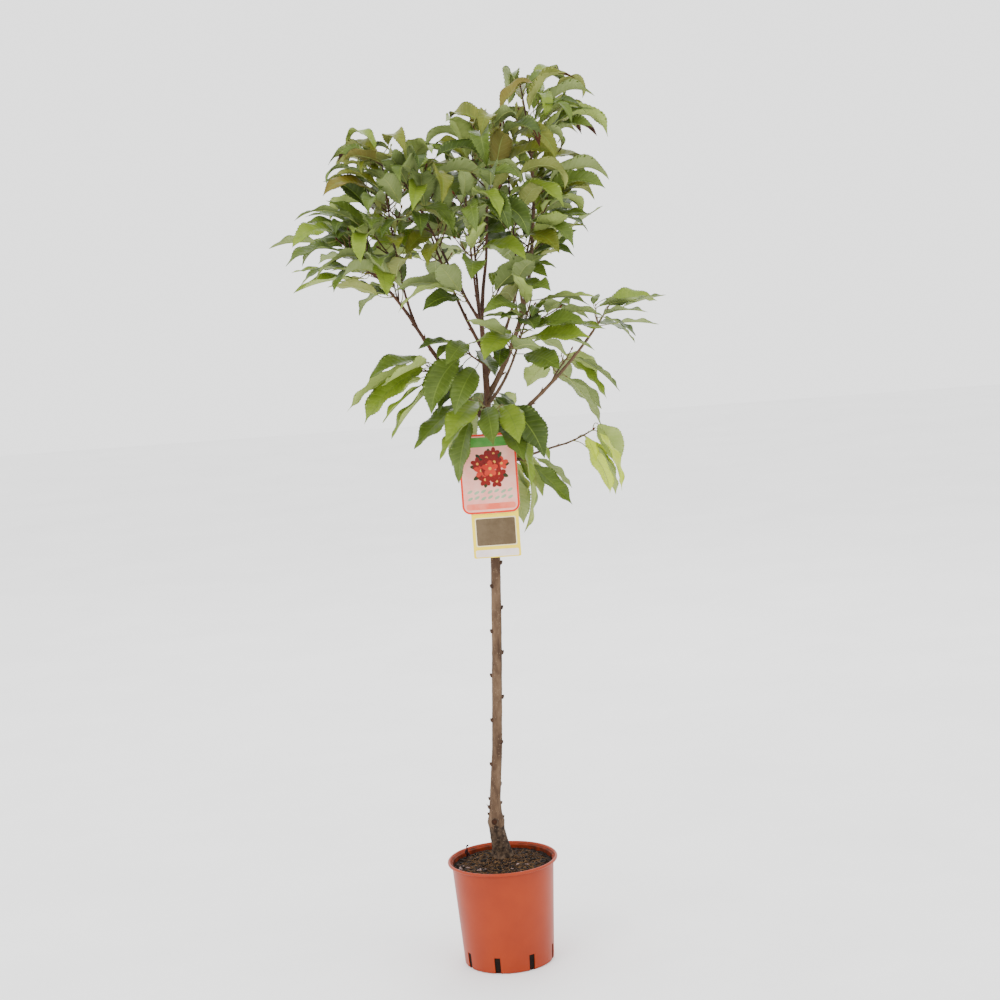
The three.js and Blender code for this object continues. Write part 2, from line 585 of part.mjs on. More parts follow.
// Grows one mass: its side twigs first, then the leaves of its stem and of each twig in turn.
function growMass(name, mass) {
  const draw = draws(mass.seed);
  const stem = routes[name];
  const shoots = [{ points: stem.points, bare: mass.length > SPUR_LENGTH ? STEM_BARE : SPUR_BARE }];
  const solids = [limbOf(name, mass)];
  const start = draw() * 360;
  for (let k = 0; k < mass.twigs; k += 1) {
    const share = TWIG.first + TWIG.span * (k + within(TWIG.place, draw())) / mass.twigs;
    const { point, way } = along(stem.points, share);
    const around = start + GOLDEN_ANGLE * k + within(TWIG.swing, draw());
    const out = leant(way, around, within(TWIG.lean, draw()));
    const heading = degrees(Math.atan2(out[1], out[0]));
    const rise = degrees(Math.asin(Math.max(-1, Math.min(1, out[2]))));
    const length = TWIG.length * within(TWIG.size, draw());
    const points = arc(point, heading, 0, rise, rise + TWIG.up, length, TWIG.steps);
    const radii = points.map((at, i) => between(TWIG.foot, TWIG.tip, i / TWIG.steps) / 2);
    const samples = limbSamples({ points: points.slice(1), radii: radii.slice(1) });
    if (!isClear(samples.points, name, TWIG.room)) continue;
    addCrowd(samples.points, samples.rooms, `${name} wood`);
    shoots.push({ points, bare: TWIG.bare });
    solids.push(limbSolid(points, radii, TWIG.sides));
  }
  for (const { points, bare } of shoots) {
    const length = points.slice(1).reduce((sum, point, i) => sum + distance(points[i], point), 0);
    const count = Math.max(1, Math.round(length * (1 - bare) / mass.gap));
    let around = draw() * 360;
    for (let k = 0; k <= count; k += 1) {
      around += GOLDEN_ANGLE + within(LEAF_RANGE.swing, draw());
      const sizes = Object.fromEntries(LEAF_DRAWS.map((key) => [key, draw()]));
      for (let attempt = 0; attempt < TRIES; attempt += 1) {
        const leaf = leafOn(points, between(bare, 1, k / count), around + TRY_TURN * attempt, sizes, mass);
        const tip = leaf.route[LEAF.steps];
        if (stem.points.every((point) => distance(tip, point) > mass.reach)) continue;
        const samples = leafSamples(leaf);
        if (!isClear(samples, name, ROOM.stem)) continue;
        addCrowd(samples, samples.map(() => 0), name);
        solids.push(leafSolid(leaf));
        break;
      }
    }
  }
  return seated(join(solids), mass).simplify(JOIN_TOLERANCE);
}
for (const [name, mass] of Object.entries(MASSES)) {
  shapes[name] = { solid: growMass(name, mass), look: 'leaf' };
}

// The tree as a scene graph: one mesh for each piece.
const tree = new THREE.Group();
for (const [name, { solid, look }] of Object.entries(shapes)) {
  const { vertProperties, triVerts } = solid.getMesh();
  const geometry = new THREE.BufferGeometry();
  geometry.setAttribute('position', new THREE.BufferAttribute(vertProperties, 3));
  geometry.setIndex(new THREE.BufferAttribute(triVerts, 1));
  geometry.computeVertexNormals();
  const [colour, roughness] = COLOURS[look];
  const material = new THREE.MeshStandardMaterial({ color: colour, roughness, metalness: 0 });
  const mesh = new THREE.Mesh(geometry, material);
  mesh.name = name;
  tree.add(mesh);
}

export default tree;
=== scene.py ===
import math
import bmesh
import bpy
import numpy as np
from mathutils import Matrix, Vector, noise


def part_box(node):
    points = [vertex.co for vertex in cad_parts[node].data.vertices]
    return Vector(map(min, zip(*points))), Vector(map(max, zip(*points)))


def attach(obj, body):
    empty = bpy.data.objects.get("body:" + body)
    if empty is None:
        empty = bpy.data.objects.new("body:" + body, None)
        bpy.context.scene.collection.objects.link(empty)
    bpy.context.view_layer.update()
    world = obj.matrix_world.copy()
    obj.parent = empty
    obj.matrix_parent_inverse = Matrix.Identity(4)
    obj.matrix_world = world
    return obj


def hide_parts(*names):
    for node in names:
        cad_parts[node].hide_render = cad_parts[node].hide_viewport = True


# A young grafted cherry tree in a plastic nursery pot, in a plain pale studio.
# The plant's sizes are in millimetres, as in its solids, and each mesh is scaled to metres as it is made.
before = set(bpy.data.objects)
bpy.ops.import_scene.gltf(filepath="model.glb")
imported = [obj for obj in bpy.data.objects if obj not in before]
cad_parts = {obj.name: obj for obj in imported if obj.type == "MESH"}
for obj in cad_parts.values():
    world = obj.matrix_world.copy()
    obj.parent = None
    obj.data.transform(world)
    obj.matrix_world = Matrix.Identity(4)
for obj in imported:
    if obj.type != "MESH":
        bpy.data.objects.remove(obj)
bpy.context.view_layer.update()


# Pot
# A tapered tub of thin terracotta-coloured plastic, moulded in one piece, with a rolled lip for lifting and
# eight slots cut round its foot for drainage. It stands free on its flat underside.
MM = 0.001
POT_FOOT, POT_SHOULDER, POT_HEIGHT, POT_WALL, FOOT_BEVEL = 89.2, 101.6, 211.0, 1.8, 2.2
LIP_RADIUS, LIP_DROP, LIP_ROLL, LIP_STEPS, COLLAR_FLARE = 109.6, 7.0, (2.6, 3.2), 11, 4.9
SLOT_COUNT, SLOT_FIRST, SLOT_WIDTH, SLOT_HEIGHT, SLOT_DEPTH = 8, -60.5, 12.0, 33.0, 6.0
SLOT_COLUMNS, WALL_COLUMNS, FLOOR_RING, FLOOR_CURVE = 3, 13, 40.0, (2.6, 3.4)
LIP_GAP, LIP_FIRST, LIP_SPAN, COLLAR_FOOT, COLLAR_RISE = 0.2, -60, 200, 1, 4.0
WALL_RINGS = (10.0, 19.0, SLOT_HEIGHT, SLOT_HEIGHT + 1.2, 60.0, 100.0, 140.0, 180.0, POT_HEIGHT - LIP_DROP)
# The second range: strips whose inside is soil-stained and painted darker as shade in the pot's mouth.
OPEN_STRIPS, STAINED_AND_SHADED_STRIPS = range(2, 7), range(12, 22)
SCREEN_DEPTH, PATCH_EDGES, PALE_FLECK = 3.0, (0.38, 0.64), (0.55, 0.45, 0.03)
BUMP_STRENGTH, REFRACTION, CREASE = 0.8, 1.45, 35
DETAIL_INPUTS = ('Patch Size', 'Speck Size', 'Grain Size', 'Speck Share', 'Stretch')


def paint(colour):
    """A screen colour as the linear colour that a shader takes, and deeper, as bright light pales it."""
    return tuple((channel / 255) ** SCREEN_DEPTH for channel in colour) + (1.0,)


def add_node(tree, kind, inputs, **settings):
    """Adds a shader node with its options. Inputs, by name or number, are linked or set to values."""
    made = tree.nodes.new(kind)
    for option, value in settings.items():
        setattr(made, option, value)
    for key, value in inputs.items():
        if isinstance(value, bpy.types.NodeSocket):
            tree.links.new(value, made.inputs[key])
        else:
            made.inputs[key].default_value = value
    return made


def blend_colours(tree, mask, first, second):
    """Mixes two colours, or links to colours, by a mask."""
    return add_node(tree, 'ShaderNodeMix', {0: mask, 6: first, 7: second}, data_type='RGBA').outputs[2]


def surface_detail_group():
    """Three masks that every finish here uses: broad patches, small round specks and a fine grain."""
    group = bpy.data.node_groups.new('surface_detail', 'ShaderNodeTree')
    for name in DETAIL_INPUTS:
        group.interface.new_socket(name, in_out='INPUT', socket_type='NodeSocketFloat')
    for name in ('Patches', 'Specks', 'Grain'):
        group.interface.new_socket(name, in_out='OUTPUT', socket_type='NodeSocketFloat')
    given = group.nodes.new('NodeGroupInput').outputs
    place = group.nodes.new('ShaderNodeTexCoord').outputs['Object']
    stretch = add_node(group, 'ShaderNodeCombineXYZ', {'X': 1.0, 'Y': 1.0, 'Z': given['Stretch']}).outputs[0]
    spot = add_node(group, 'ShaderNodeVectorMath', {0: place, 1: stretch}, operation='MULTIPLY').outputs[0]

    def per_metre(size):
        return add_node(group, 'ShaderNodeMath', {0: 1 / MM, 1: given[size]}, operation='DIVIDE').outputs[0]

    patches = add_node(group, 'ShaderNodeTexNoise',
                       {'Vector': spot, 'Scale': per_metre('Patch Size'), 'Detail': 4.0, 'Roughness': 0.6})
    ends = {'From Min': PATCH_EDGES[0], 'From Max': PATCH_EDGES[1]}
    clear_patches = add_node(group, 'ShaderNodeMapRange', {'Value': patches.outputs[0], **ends}, clamp=True)
    specks = add_node(group, 'ShaderNodeTexVoronoi',
                      {'Vector': spot, 'Scale': per_metre('Speck Size'), 'Randomness': 1.0})
    inside = add_node(group, 'ShaderNodeMath', {0: specks.outputs['Distance'], 1: given['Speck Share']},
                      operation='LESS_THAN')
    grain = add_node(group, 'ShaderNodeTexNoise',
                     {'Vector': spot, 'Scale': per_metre('Grain Size'), 'Detail': 3.0, 'Roughness': 0.65})
    add_node(group, 'NodeGroupOutput',
             {'Patches': clear_patches.outputs[0], 'Specks': inside.outputs[0], 'Grain': grain.outputs[0]})
    return group


SURFACE_DETAIL = surface_detail_group()


def finish(name, base, patch, speck, sizes, roughness, relief, speck_strength=0.6, stretch=1.0, shine=0.25):
    """A finish whose colour, gloss and relief vary over the surface. Colours are screen colours, and without
    one for the specks these are a paler mix of the other two. sizes are those of the patches, the specks and
    the grain in millimetres, and the specks' share; relief is the grain's height in millimetres."""
    made = bpy.data.materials.new(name)
    made.use_nodes = True
    tree = made.node_tree
    base, patch = paint(base), paint(patch)
    if speck:
        speck = paint(speck)
    else:
        of_base, of_patch, lift = PALE_FLECK
        speck = tuple(of_base * base[k] + of_patch * patch[k] + lift for k in range(3)) + (1.0,)
    detail = add_node(tree, 'ShaderNodeGroup', dict(zip(DETAIL_INPUTS, (*sizes, stretch))),
                      node_tree=SURFACE_DETAIL).outputs
    toned = blend_colours(tree, detail['Patches'], base, patch)
    faint = add_node(tree, 'ShaderNodeMath', {0: detail['Specks'], 1: speck_strength}, operation='MULTIPLY')
    gloss = add_node(tree, 'ShaderNodeMapRange',
                     {'Value': detail['Grain'], 'To Min': roughness[0], 'To Max': roughness[1]})
    raised = add_node(tree, 'ShaderNodeBump',
                      {'Strength': BUMP_STRENGTH, 'Distance': relief * MM, 'Height': detail['Grain']})
    shader = tree.nodes['Principled BSDF'].inputs
    tree.links.new(blend_colours(tree, faint.outputs[0], toned, speck), shader['Base Color'])
    tree.links.new(gloss.outputs[0], shader['Roughness'])
    tree.links.new(raised.outputs[0], shader['Normal'])
    shader['Specular IOR Level'].default_value = shine
    shader['IOR'].default_value = REFRACTION
    return made


def add_piece(name, points, faces, marks, finishes, slot, nodes, smooth=True):
    """A mesh piece from points in millimetres, with a mark for each face that says which finish it has. It
    rides on the plant's one body and stands for the named solids. The slot is not used."""
    mesh = bpy.data.meshes.new(name)
    mesh.from_pydata((np.asarray(points, float) * MM).tolist(), [], faces)
    for made in finishes:
        mesh.materials.append(made)
    mesh.polygons.foreach_set('material_index', np.asarray(marks, dtype=np.int32))
    mesh.polygons.foreach_set('use_smooth', np.full(len(mesh.polygons), smooth))
    mesh.validate()
    mesh.update()
    made = bpy.data.objects.new(name, mesh)
    bpy.context.scene.collection.objects.link(made)
    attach(made, 'root')
    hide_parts(*nodes)
    return made


def turned(radius, turn, height, middle=(0.0, 0.0)):
    """The point at a radius and an angle round an upright line."""
    return (middle[0] + radius * math.cos(turn), middle[1] + radius * math.sin(turn), height)


def pot_wall(height, inner=0.0):
    """The radius of the pot's outside at a height, less a depth into its wall."""
    return POT_FOOT + (POT_SHOULDER - POT_FOOT) * height / (POT_HEIGHT - LIP_DROP) - inner


def pot_section():
    """Outer and inner points of the pot's skin, from the middle of its floor out and up to the lip."""
    notch = POT_FOOT - SLOT_DEPTH
    pairs = [((radius, 0.0), (radius, POT_WALL)) for radius in (0.0, FLOOR_RING, notch)]
    pairs.append(((POT_FOOT - FOOT_BEVEL, 0.0), (POT_FOOT - FLOOR_CURVE[0], POT_WALL)))
    pairs.append(((POT_FOOT, FOOT_BEVEL), (pot_wall(FOOT_BEVEL, POT_WALL), FLOOR_CURVE[1])))
    for height in WALL_RINGS:
        pairs.append(((pot_wall(height), height), (pot_wall(height, POT_WALL), height)))
    under = POT_HEIGHT - LIP_DROP
    collar = pot_wall(under, POT_WALL)
    pairs.append((((LIP_RADIUS + POT_SHOULDER) / 2, under + LIP_GAP), (collar, under + COLLAR_FOOT)))
    wide, tall = LIP_ROLL
    for k in range(LIP_STEPS + 1):
        turn = math.radians(LIP_FIRST + LIP_SPAN * k / LIP_STEPS)
        outer = (LIP_RADIUS - wide + wide * math.cos(turn), POT_HEIGHT - tall + tall * math.sin(turn))
        flare = COLLAR_FLARE * (1 - (1 - k / LIP_STEPS) ** 2)
        pairs.append((outer, (collar + flare, under + COLLAR_FOOT + COLLAR_RISE * k / LIP_STEPS)))
    return pairs


def make_pot():
    """The pot's skin, strip by strip round the axis, left open where a slot is, with a mark for each face: 1
    on the inside above the soil, which is soil-stained and painted darker as shade in the pot's mouth."""
    pairs = pot_section()
    half = math.degrees(SLOT_WIDTH / 2 / POT_FOOT)
    wall = 360 / SLOT_COUNT - 2 * half
    angles, is_slot = [], []
    for k in range(SLOT_COUNT):
        middle = SLOT_FIRST - 90 + 360 / SLOT_COUNT * k
        angles += [middle - half + 2 * half * c / SLOT_COLUMNS for c in range(SLOT_COLUMNS)]
        angles += [middle + half + wall * c / WALL_COLUMNS for c in range(WALL_COLUMNS)]
        is_slot += [True] * SLOT_COLUMNS + [False] * WALL_COLUMNS
    points = [turned(radius, math.radians(angle), height) for angle in angles for pair in pairs
              for radius, height in pair]
    count, last = len(angles), len(pairs) - 1
    faces, stained_and_shaded = [], set()

    def is_open(c, k):
        return is_slot[c % count] and k in OPEN_STRIPS

    def add_face(*corners):
        faces.append(tuple(((c % count) * len(pairs) + k) * 2 + side for c, k, side in corners))

    for c in range(count):
        d = c + 1
        for k in range(last):
            if is_open(c, k):
                continue
            add_face((c, k, 0), (d, k, 0), (d, k + 1, 0), (c, k + 1, 0))
            if k in STAINED_AND_SHADED_STRIPS:
                stained_and_shaded.add(len(faces))
            add_face((c, k, 1), (c, k + 1, 1), (d, k + 1, 1), (d, k, 1))
            if is_open(d, k):
                add_face((d, k, 0), (d, k, 1), (d, k + 1, 1), (d, k + 1, 0))
            if is_open(c - 1, k):
                add_face((c, k, 0), (c, k + 1, 0), (c, k + 1, 1), (c, k, 1))
        add_face((c, last, 0), (d, last, 0), (d, last, 1), (c, last, 1))
        if is_slot[c]:
            for edge in (OPEN_STRIPS.start, OPEN_STRIPS.stop):
                add_face((c, edge, 0), (c, edge, 1), (d, edge, 1), (d, edge, 0))
    return points, faces, [int(number in stained_and_shaded) for number in range(len(faces))]


def merged(made, gap=0.01):
    """Joins corners that lie together and turns all faces outward."""
    work = bmesh.new()
    work.from_mesh(made.data)
    bmesh.ops.remove_doubles(work, verts=work.verts, dist=gap * MM)
    bmesh.ops.recalc_face_normals(work, faces=work.faces)
    work.to_mesh(made.data)
    work.free()
    return made


TERRACOTTA = finish('terracotta_plastic', (164, 76, 27), (157, 71, 25), (184, 100, 58), (90, 16, 0.9, 0.035),
                    (0.36, 0.48), 0.04, speck_strength=0.25, shine=0.3)
# The inside above the soil: a soil stain, and darker than the outside as painted shade in the pot's mouth.
STAINED_AND_SHADED = finish('soil_stained_and_shaded_plastic', (142, 68, 34), (86, 52, 34), (150, 126, 100), (22, 3, 1.2, 0.1),
                 (0.6, 0.8), 0.06, speck_strength=0.4, shine=0.2)
pot = merged(add_piece('pot_tub', *make_pot(), [TERRACOTTA, STAINED_AND_SHADED], 'pot_plastic', ['pot']))
pot.modifiers.new('crisp_edges', 'EDGE_SPLIT').split_angle = math.radians(CREASE)


# Soil
# Moist dark peat potting soil with bark crumbs, red-brown fibres and a few pale wood chips. It fills the pot
# to a little below the lip and rises to the trunk's foot.
SOIL_EDGE, SOIL_SEAT, SOIL_LUMPS, WALL_GAP, MOUND_REACH = 197.0, 203.4, 2.0, 0.4, 95.0
SOIL_COLUMNS, SOIL_RINGS, SOIL_SIDE = 150, 46, (150.0, 60.0, POT_WALL + WALL_GAP)
SOIL_RIM = pot_wall(SOIL_EDGE, POT_WALL) - WALL_GAP
TRUNK_FOOT, TRUNK_ROOM = (0.0, 34.0), 20
MOUND_SHARES, SOIL_WAVES, LUMP_START = (0.65, 0.35), ((9, 0.3, 1.0), (3.6, 4.1, 0.6)), 2.5
CRUMB_COUNT, CRUMB_REACH, DARK_SHARE, CRUMB_SEED = 3200, 92.0, 0.62, 21
CRUMB_POWER, CRUMB_LIFT, CRUMB_FLAT = 4, 0.1, 0.7
CHIP_SPOTS, CHIP_COUNT, CHIP_REACH, CHIP_SPREAD, CHIP_LIFT = ((-78, -12), (-46, -38)), 16, 80, (9, 8), 1.4
FIBRE_COUNT, FIBRE_STEPS, FIBRE_SIDES, FIBRE_TURN = 520, 5, 3, 2.094
FIBRE_REACH, FIBRE_BEND, ANY_WAY, FIBRE_MARK, CHIP_MARK = 84, 2.4, 6.3, 2, 3
# The least value of each, and what a draw from 0 to 1 adds to it.
CRUMB_SIZE, CRUMB_STRETCH, LUMP_PULL, CHIP_SIZE = (1.2, 4.4), (1, 0.8), (0.6, 0.7), ((6, 4), 4, 1.8)
FIBRE_LENGTH, FIBRE_THICK, FIBRE_LIFT = (8, 15), (0.32, 0.3), (0.8, 2.4)
LUMP_FACES = ((0, 2, 3, 1), (4, 5, 7, 6), (0, 1, 5, 4), (2, 6, 7, 3), (0, 4, 6, 2), (1, 3, 7, 5))


def stream(seed):
    """Even draws from 0 to 1, the same for the same seed."""
    span = 4294967296
    state = (seed * 2654435761) % span

    def draw():
        nonlocal state
        state = (state * 1664525 + 1013904223) % span
        return state / span
    draw()
    draw()
    return draw


def vary(pair, value):
    """A pair's first part, and as much of its second as the value says."""
    return pair[0] + pair[1] * value


def soil_height(x, y):
    """The soil's level at a place: its mound round the trunk's foot, and its lumps."""
    out = min(math.hypot(x, y) / SOIL_RIM, 1.0)
    near = min(math.hypot(x - TRUNK_FOOT[0], y - TRUNK_FOOT[1]) / MOUND_REACH, 1.0)
    level = SOIL_SEAT + (SOIL_EDGE - SOIL_SEAT) * (MOUND_SHARES[0] * near + MOUND_SHARES[1] * out)
    lumps = sum(share * noise.noise(Vector((x / size, y / size, layer))) for size, layer, share in SOIL_WAVES)
    return level + SOIL_LUMPS * lumps * min(1.0, LUMP_START * near)


def make_soil():
    """The soil's lumpy top as rings of corners, its side against the pot's wall, and its flat bottom."""
    turns = [2 * math.pi * c / SOIL_COLUMNS for c in range(SOIL_COLUMNS)]
    points = [(0.0, 0.0, soil_height(0, 0))]
    for r in range(1, SOIL_RINGS + 1):
        for turn in turns:
            x, y = turned(SOIL_RIM * r / SOIL_RINGS, turn, 0.0)[:2]
            points.append((x, y, soil_height(x, y)))
    for height in SOIL_SIDE:
        points += [turned(pot_wall(height, POT_WALL) - WALL_GAP, turn, height) for turn in turns]
    points.append((0.0, 0.0, SOIL_SIDE[-1]))
    faces = []
    for c in range(SOIL_COLUMNS):
        d = (c + 1) % SOIL_COLUMNS
        faces.append((0, 1 + c, 1 + d))
        for r in range(SOIL_RINGS + 2):
            low, high = 1 + r * SOIL_COLUMNS, 1 + (r + 1) * SOIL_COLUMNS
            faces.append((low + c, high + c, high + d, low + d))
        faces.append((high + d, high + c, len(points) - 1))
    return points, faces, [0] * len(faces)


def scatter_place(draw, reach=CRUMB_REACH):
    """A random place on the soil, clear of the pot's wall and of the trunk's foot."""
    while True:
        x, y = reach * (2 * draw() - 1), reach * (2 * draw() - 1)
        if math.hypot(x, y) < reach and math.hypot(x - TRUNK_FOOT[0], y - TRUNK_FOOT[1]) > TRUNK_ROOM:
            return x, y


class Parts:
    """Points and faces gathered from several shapes for one joined piece."""

    def __init__(self):
        self.points, self.faces, self.marks, self.count = [], [], [], 0

    def add(self, points, faces, marks=0):
        points = np.asarray(points, float)
        self.points.append(points)
        self.faces += [tuple(k + self.count for k in face) for face in faces]
        self.marks += [marks] * len(faces) if isinstance(marks, int) else list(marks)
        self.count += len(points)

    def piece(self, name, finishes, slot, nodes, smooth=True):
        add_piece(name, np.vstack(self.points), self.faces, self.marks, finishes, slot, nodes, smooth)


def add_lump(shape, centre, sizes, turn, draw, mark):
    """A small rough stone or crumb: a box of eight corners, each pulled about, with its faces."""
    points = []
    for k in range(8):
        corner = [((k >> axis & 1) - 0.5) * sizes[axis] * vary(LUMP_PULL, draw()) for axis in range(3)]
        x = corner[0] * math.cos(turn) - corner[1] * math.sin(turn)
        y = corner[0] * math.sin(turn) + corner[1] * math.cos(turn)
        points.append((centre[0] + x, centre[1] + y, centre[2] + corner[2]))
    shape.add(points, LUMP_FACES, mark)


def add_fibre(shape, x, y, draw):
    """A thin bent root fibre that lies on the soil, three-sided."""
    heading, length, bend = ANY_WAY * draw(), vary(FIBRE_LENGTH, draw()), FIBRE_BEND * (draw() - 0.5)
    thick, points, faces = vary(FIBRE_THICK, draw()), [], []
    for k in range(FIBRE_STEPS + 1):
        share = k / FIBRE_STEPS
        turn = heading + bend * share
        px, py = x + length * (share - 0.5) * math.cos(turn), y + length * (share - 0.5) * math.sin(turn)
        pz = soil_height(px, py) + vary(FIBRE_LIFT, math.sin(math.pi * share) * draw())
        for side in range(FIBRE_SIDES):
            off, rise = thick * math.cos(FIBRE_TURN * side), thick * math.sin(FIBRE_TURN * side)
            points.append((px - off * math.sin(turn), py + off * math.cos(turn), pz + rise))
    for k in range(0, FIBRE_SIDES * FIBRE_STEPS, FIBRE_SIDES):
        for side in range(FIBRE_SIDES):
            a, b = k + side, k + (side + 1) % FIBRE_SIDES
            faces.append((a, b, b + FIBRE_SIDES, a + FIBRE_SIDES))
    shape.add(points, faces, FIBRE_MARK)


def make_crumbs():
    """Crumbs all over the soil, fibres lying on them, and pale chips towards the left and the front."""
    draw, shape = stream(CRUMB_SEED), Parts()
    for _ in range(CRUMB_COUNT):
        x, y = scatter_place(draw)
        size = vary(CRUMB_SIZE, draw() ** CRUMB_POWER)
        centre = (x, y, soil_height(x, y) + CRUMB_LIFT * size)
        sizes = (size * vary(CRUMB_STRETCH, draw()), size, size * CRUMB_FLAT)
        add_lump(shape, centre, sizes, ANY_WAY * draw(), draw, int(draw() >= DARK_SHARE))
    long, wide, tall = CHIP_SIZE
    for k in range(CHIP_COUNT):
        x, y = scatter_place(draw, CHIP_REACH)
        if k % 3:
            spot = CHIP_SPOTS[k % 2]
            x, y = (spot[k] + CHIP_SPREAD[k] * (2 * draw() - 1) for k in range(2))
        centre = (x, y, soil_height(x, y) + CHIP_LIFT)
        add_lump(shape, centre, (vary(long, draw()), wide, tall), ANY_WAY * draw(), draw, CHIP_MARK)
    for _ in range(FIBRE_COUNT):
        add_fibre(shape, *scatter_place(draw, FIBRE_REACH), draw)
    return shape


PEAT = finish('peat', (42, 31, 23), (60, 45, 33), (90, 74, 56), (14, 5, 1.6, 0.12), (0.85, 1.0), 1.2)
CRUMB = finish('dark_crumbs', (49, 37, 28), (35, 27, 21), (84, 69, 53), (6, 3, 1, 0.1), (0.8, 1.0), 0.4)
BROWN_CRUMB = finish('bark_crumbs', (76, 57, 42), (55, 41, 31), (106, 88, 69), (6, 3, 1, 0.12), (0.8, 1.0),
                     0.4)
FIBRE = finish('root_fibres', (134, 109, 80), (98, 75, 53), (162, 140, 110), (9, 3, 1, 0.1), (0.7, 0.9), 0.2)
CHIP = finish('wood_chips', (160, 140, 136), (126, 106, 104), (190, 174, 168), (7, 3, 1, 0.14), (0.75, 0.95),
              0.3)
add_piece('soil_fill', *make_soil(), [PEAT], 'potting_soil', ['soil'])
make_crumbs().piece('soil_crumbs', [CRUMB, BROWN_CRUMB, FIBRE, CHIP], 'potting_soil', ['soil'], smooth=False)


# Dry stalk
# The dead shoot of a weed, a thin dark stem with a few withered scraps on it, stuck upright in the soil
# towards the left of the pot.
STALK_PLACE, STALK_HEIGHT, STALK_STEPS, STALK_SINK = (-73.0, 46.0), 29.0, 9, 1
STALK_BOW, STALK_LEAN_BACK, STALK_THICK = (3, 2.6), 0.3, (2.0, -0.13)
SCRAPS = ((5, 1, 2.2), (7, -1, 2.6), (9, 1, -0.8))
SCRAP_BOW, SCRAP_REACH, SCRAP_RADII = (3.4, 0.6), 0.8, (0.8, 1.9, 2.1, 1.3, 0.3)


def ring_frames(route):
    """Two ways square to a route and to each other at each of its points, turning as little as they can."""
    route = np.asarray(route, float)
    ways = np.gradient(route, axis=0)
    ways /= np.linalg.norm(ways, axis=1)[:, None]
    sides = np.zeros_like(route)
    side = np.array((1.0, 0.0, 0.0)) if abs(ways[0][0]) < 0.9 else np.array((0.0, 1.0, 0.0))
    for k, way in enumerate(ways):
        side = side - way * side.dot(way)
        side /= np.linalg.norm(side)
        sides[k] = side
    return sides, np.cross(ways, sides)


def tube(route, radii, sides, relief=None):
    """A closed tube along a route, its radii changed by relief(k, turn) where that is given."""
    across, over = ring_frames(route)
    turns = np.arange(sides) * 2 * math.pi / sides
    points = []
    for k, middle in enumerate(route):
        radius = np.full(sides, radii[k])
        if relief:
            radius = radius + np.array([relief(k, turn) for turn in turns])
        points.append(middle + np.outer(radius * np.cos(turns), across[k])
                      + np.outer(radius * np.sin(turns), over[k]))
    count = len(route)
    points = np.vstack(points + [np.asarray(route[0])[None], np.asarray(route[-1])[None]])
    faces = []
    for c in range(sides):
        d = (c + 1) % sides
        for k in range(count - 1):
            faces.append((k * sides + c, k * sides + d, (k + 1) * sides + d, (k + 1) * sides + c))
        faces.append((d, c, count * sides))
        faces.append(((count - 1) * sides + c, (count - 1) * sides + d, count * sides + 1))
    return points, faces


WITHERED = finish('withered_stem', (70, 34, 40), (44, 26, 26), (120, 84, 70), (6, 3, 1, 0.1), (0.7, 0.9), 0.2)
weed = Parts()
weed_ground = soil_height(*STALK_PLACE) - STALK_SINK
weed_route = [(STALK_PLACE[0] + STALK_BOW[0] * math.sin(STALK_BOW[1] * k / STALK_STEPS),
               STALK_PLACE[1] - STALK_LEAN_BACK * k, weed_ground + STALK_HEIGHT * k / STALK_STEPS)
              for k in range(STALK_STEPS + 1)]
weed.add(*tube(weed_route, [vary(STALK_THICK, k) for k in range(STALK_STEPS + 1)], 7))
for k, side, drop in SCRAPS:
    x, y, z = weed_route[k]
    bent = [(x + side * SCRAP_BOW[0] * math.sin(SCRAP_BOW[1] * j), y - SCRAP_REACH * j, z - drop * j)
            for j in range(len(SCRAP_RADII))]
    weed.add(*tube(bent, SCRAP_RADII, 6))
weed.piece('dry_stalk', [WITHERED], 'bark', ['soil'])


# Trunk
# The tree's living stem: a grey rootstock with a flared foot, the swollen graft with a sawn stub, and above
# it the smooth brown stem of the cherry, marked with level corky lines and buds, up to the leader's wood.
TRUNK = ((204, 0, 34, 44), (214, 0, 32, 36), (240, -4, 26, 29), (262, -7, 21, 29.5), (280, -8, 19, 34),
         (298, -7.5, 16.5, 26), (330, -6, 12.5, 21.5), (430, 5, 6, 20.5), (633, 19, 0, 20), (812, 29, 1, 19),
         (1049, 30, -2, 15.5), (1137, 36, 0, 13.5), (1279, 35, 2, 9), (1345, 43, 2, 6.8), (1400, 53, 1, 5.6),
         (1470, 59, 0, 4.8))
TRUNK_SIDES, TRUNK_RING_GAP, SMOOTH_RINGS, YOUNG_FADE = 40, 2.6, 9, 0.45
# Each layer of the bark's relief: its height, how fine it is round the trunk, and its length along it.
WRINKLES, ROUGHNESS, FOLDS = (0.45, 2.6, 26), (0.5, 4, 5), (1.0, 5, 14)
CORK, GRAFT_SKIN = (1.0, 2.2, 2.1), (1.1, 2, 12)
CORK_SHIFT, GRAFT_SHIFT, CORK_CUT, CORK_TALL = (7, 0), (0, 3), 0.12, 0.84
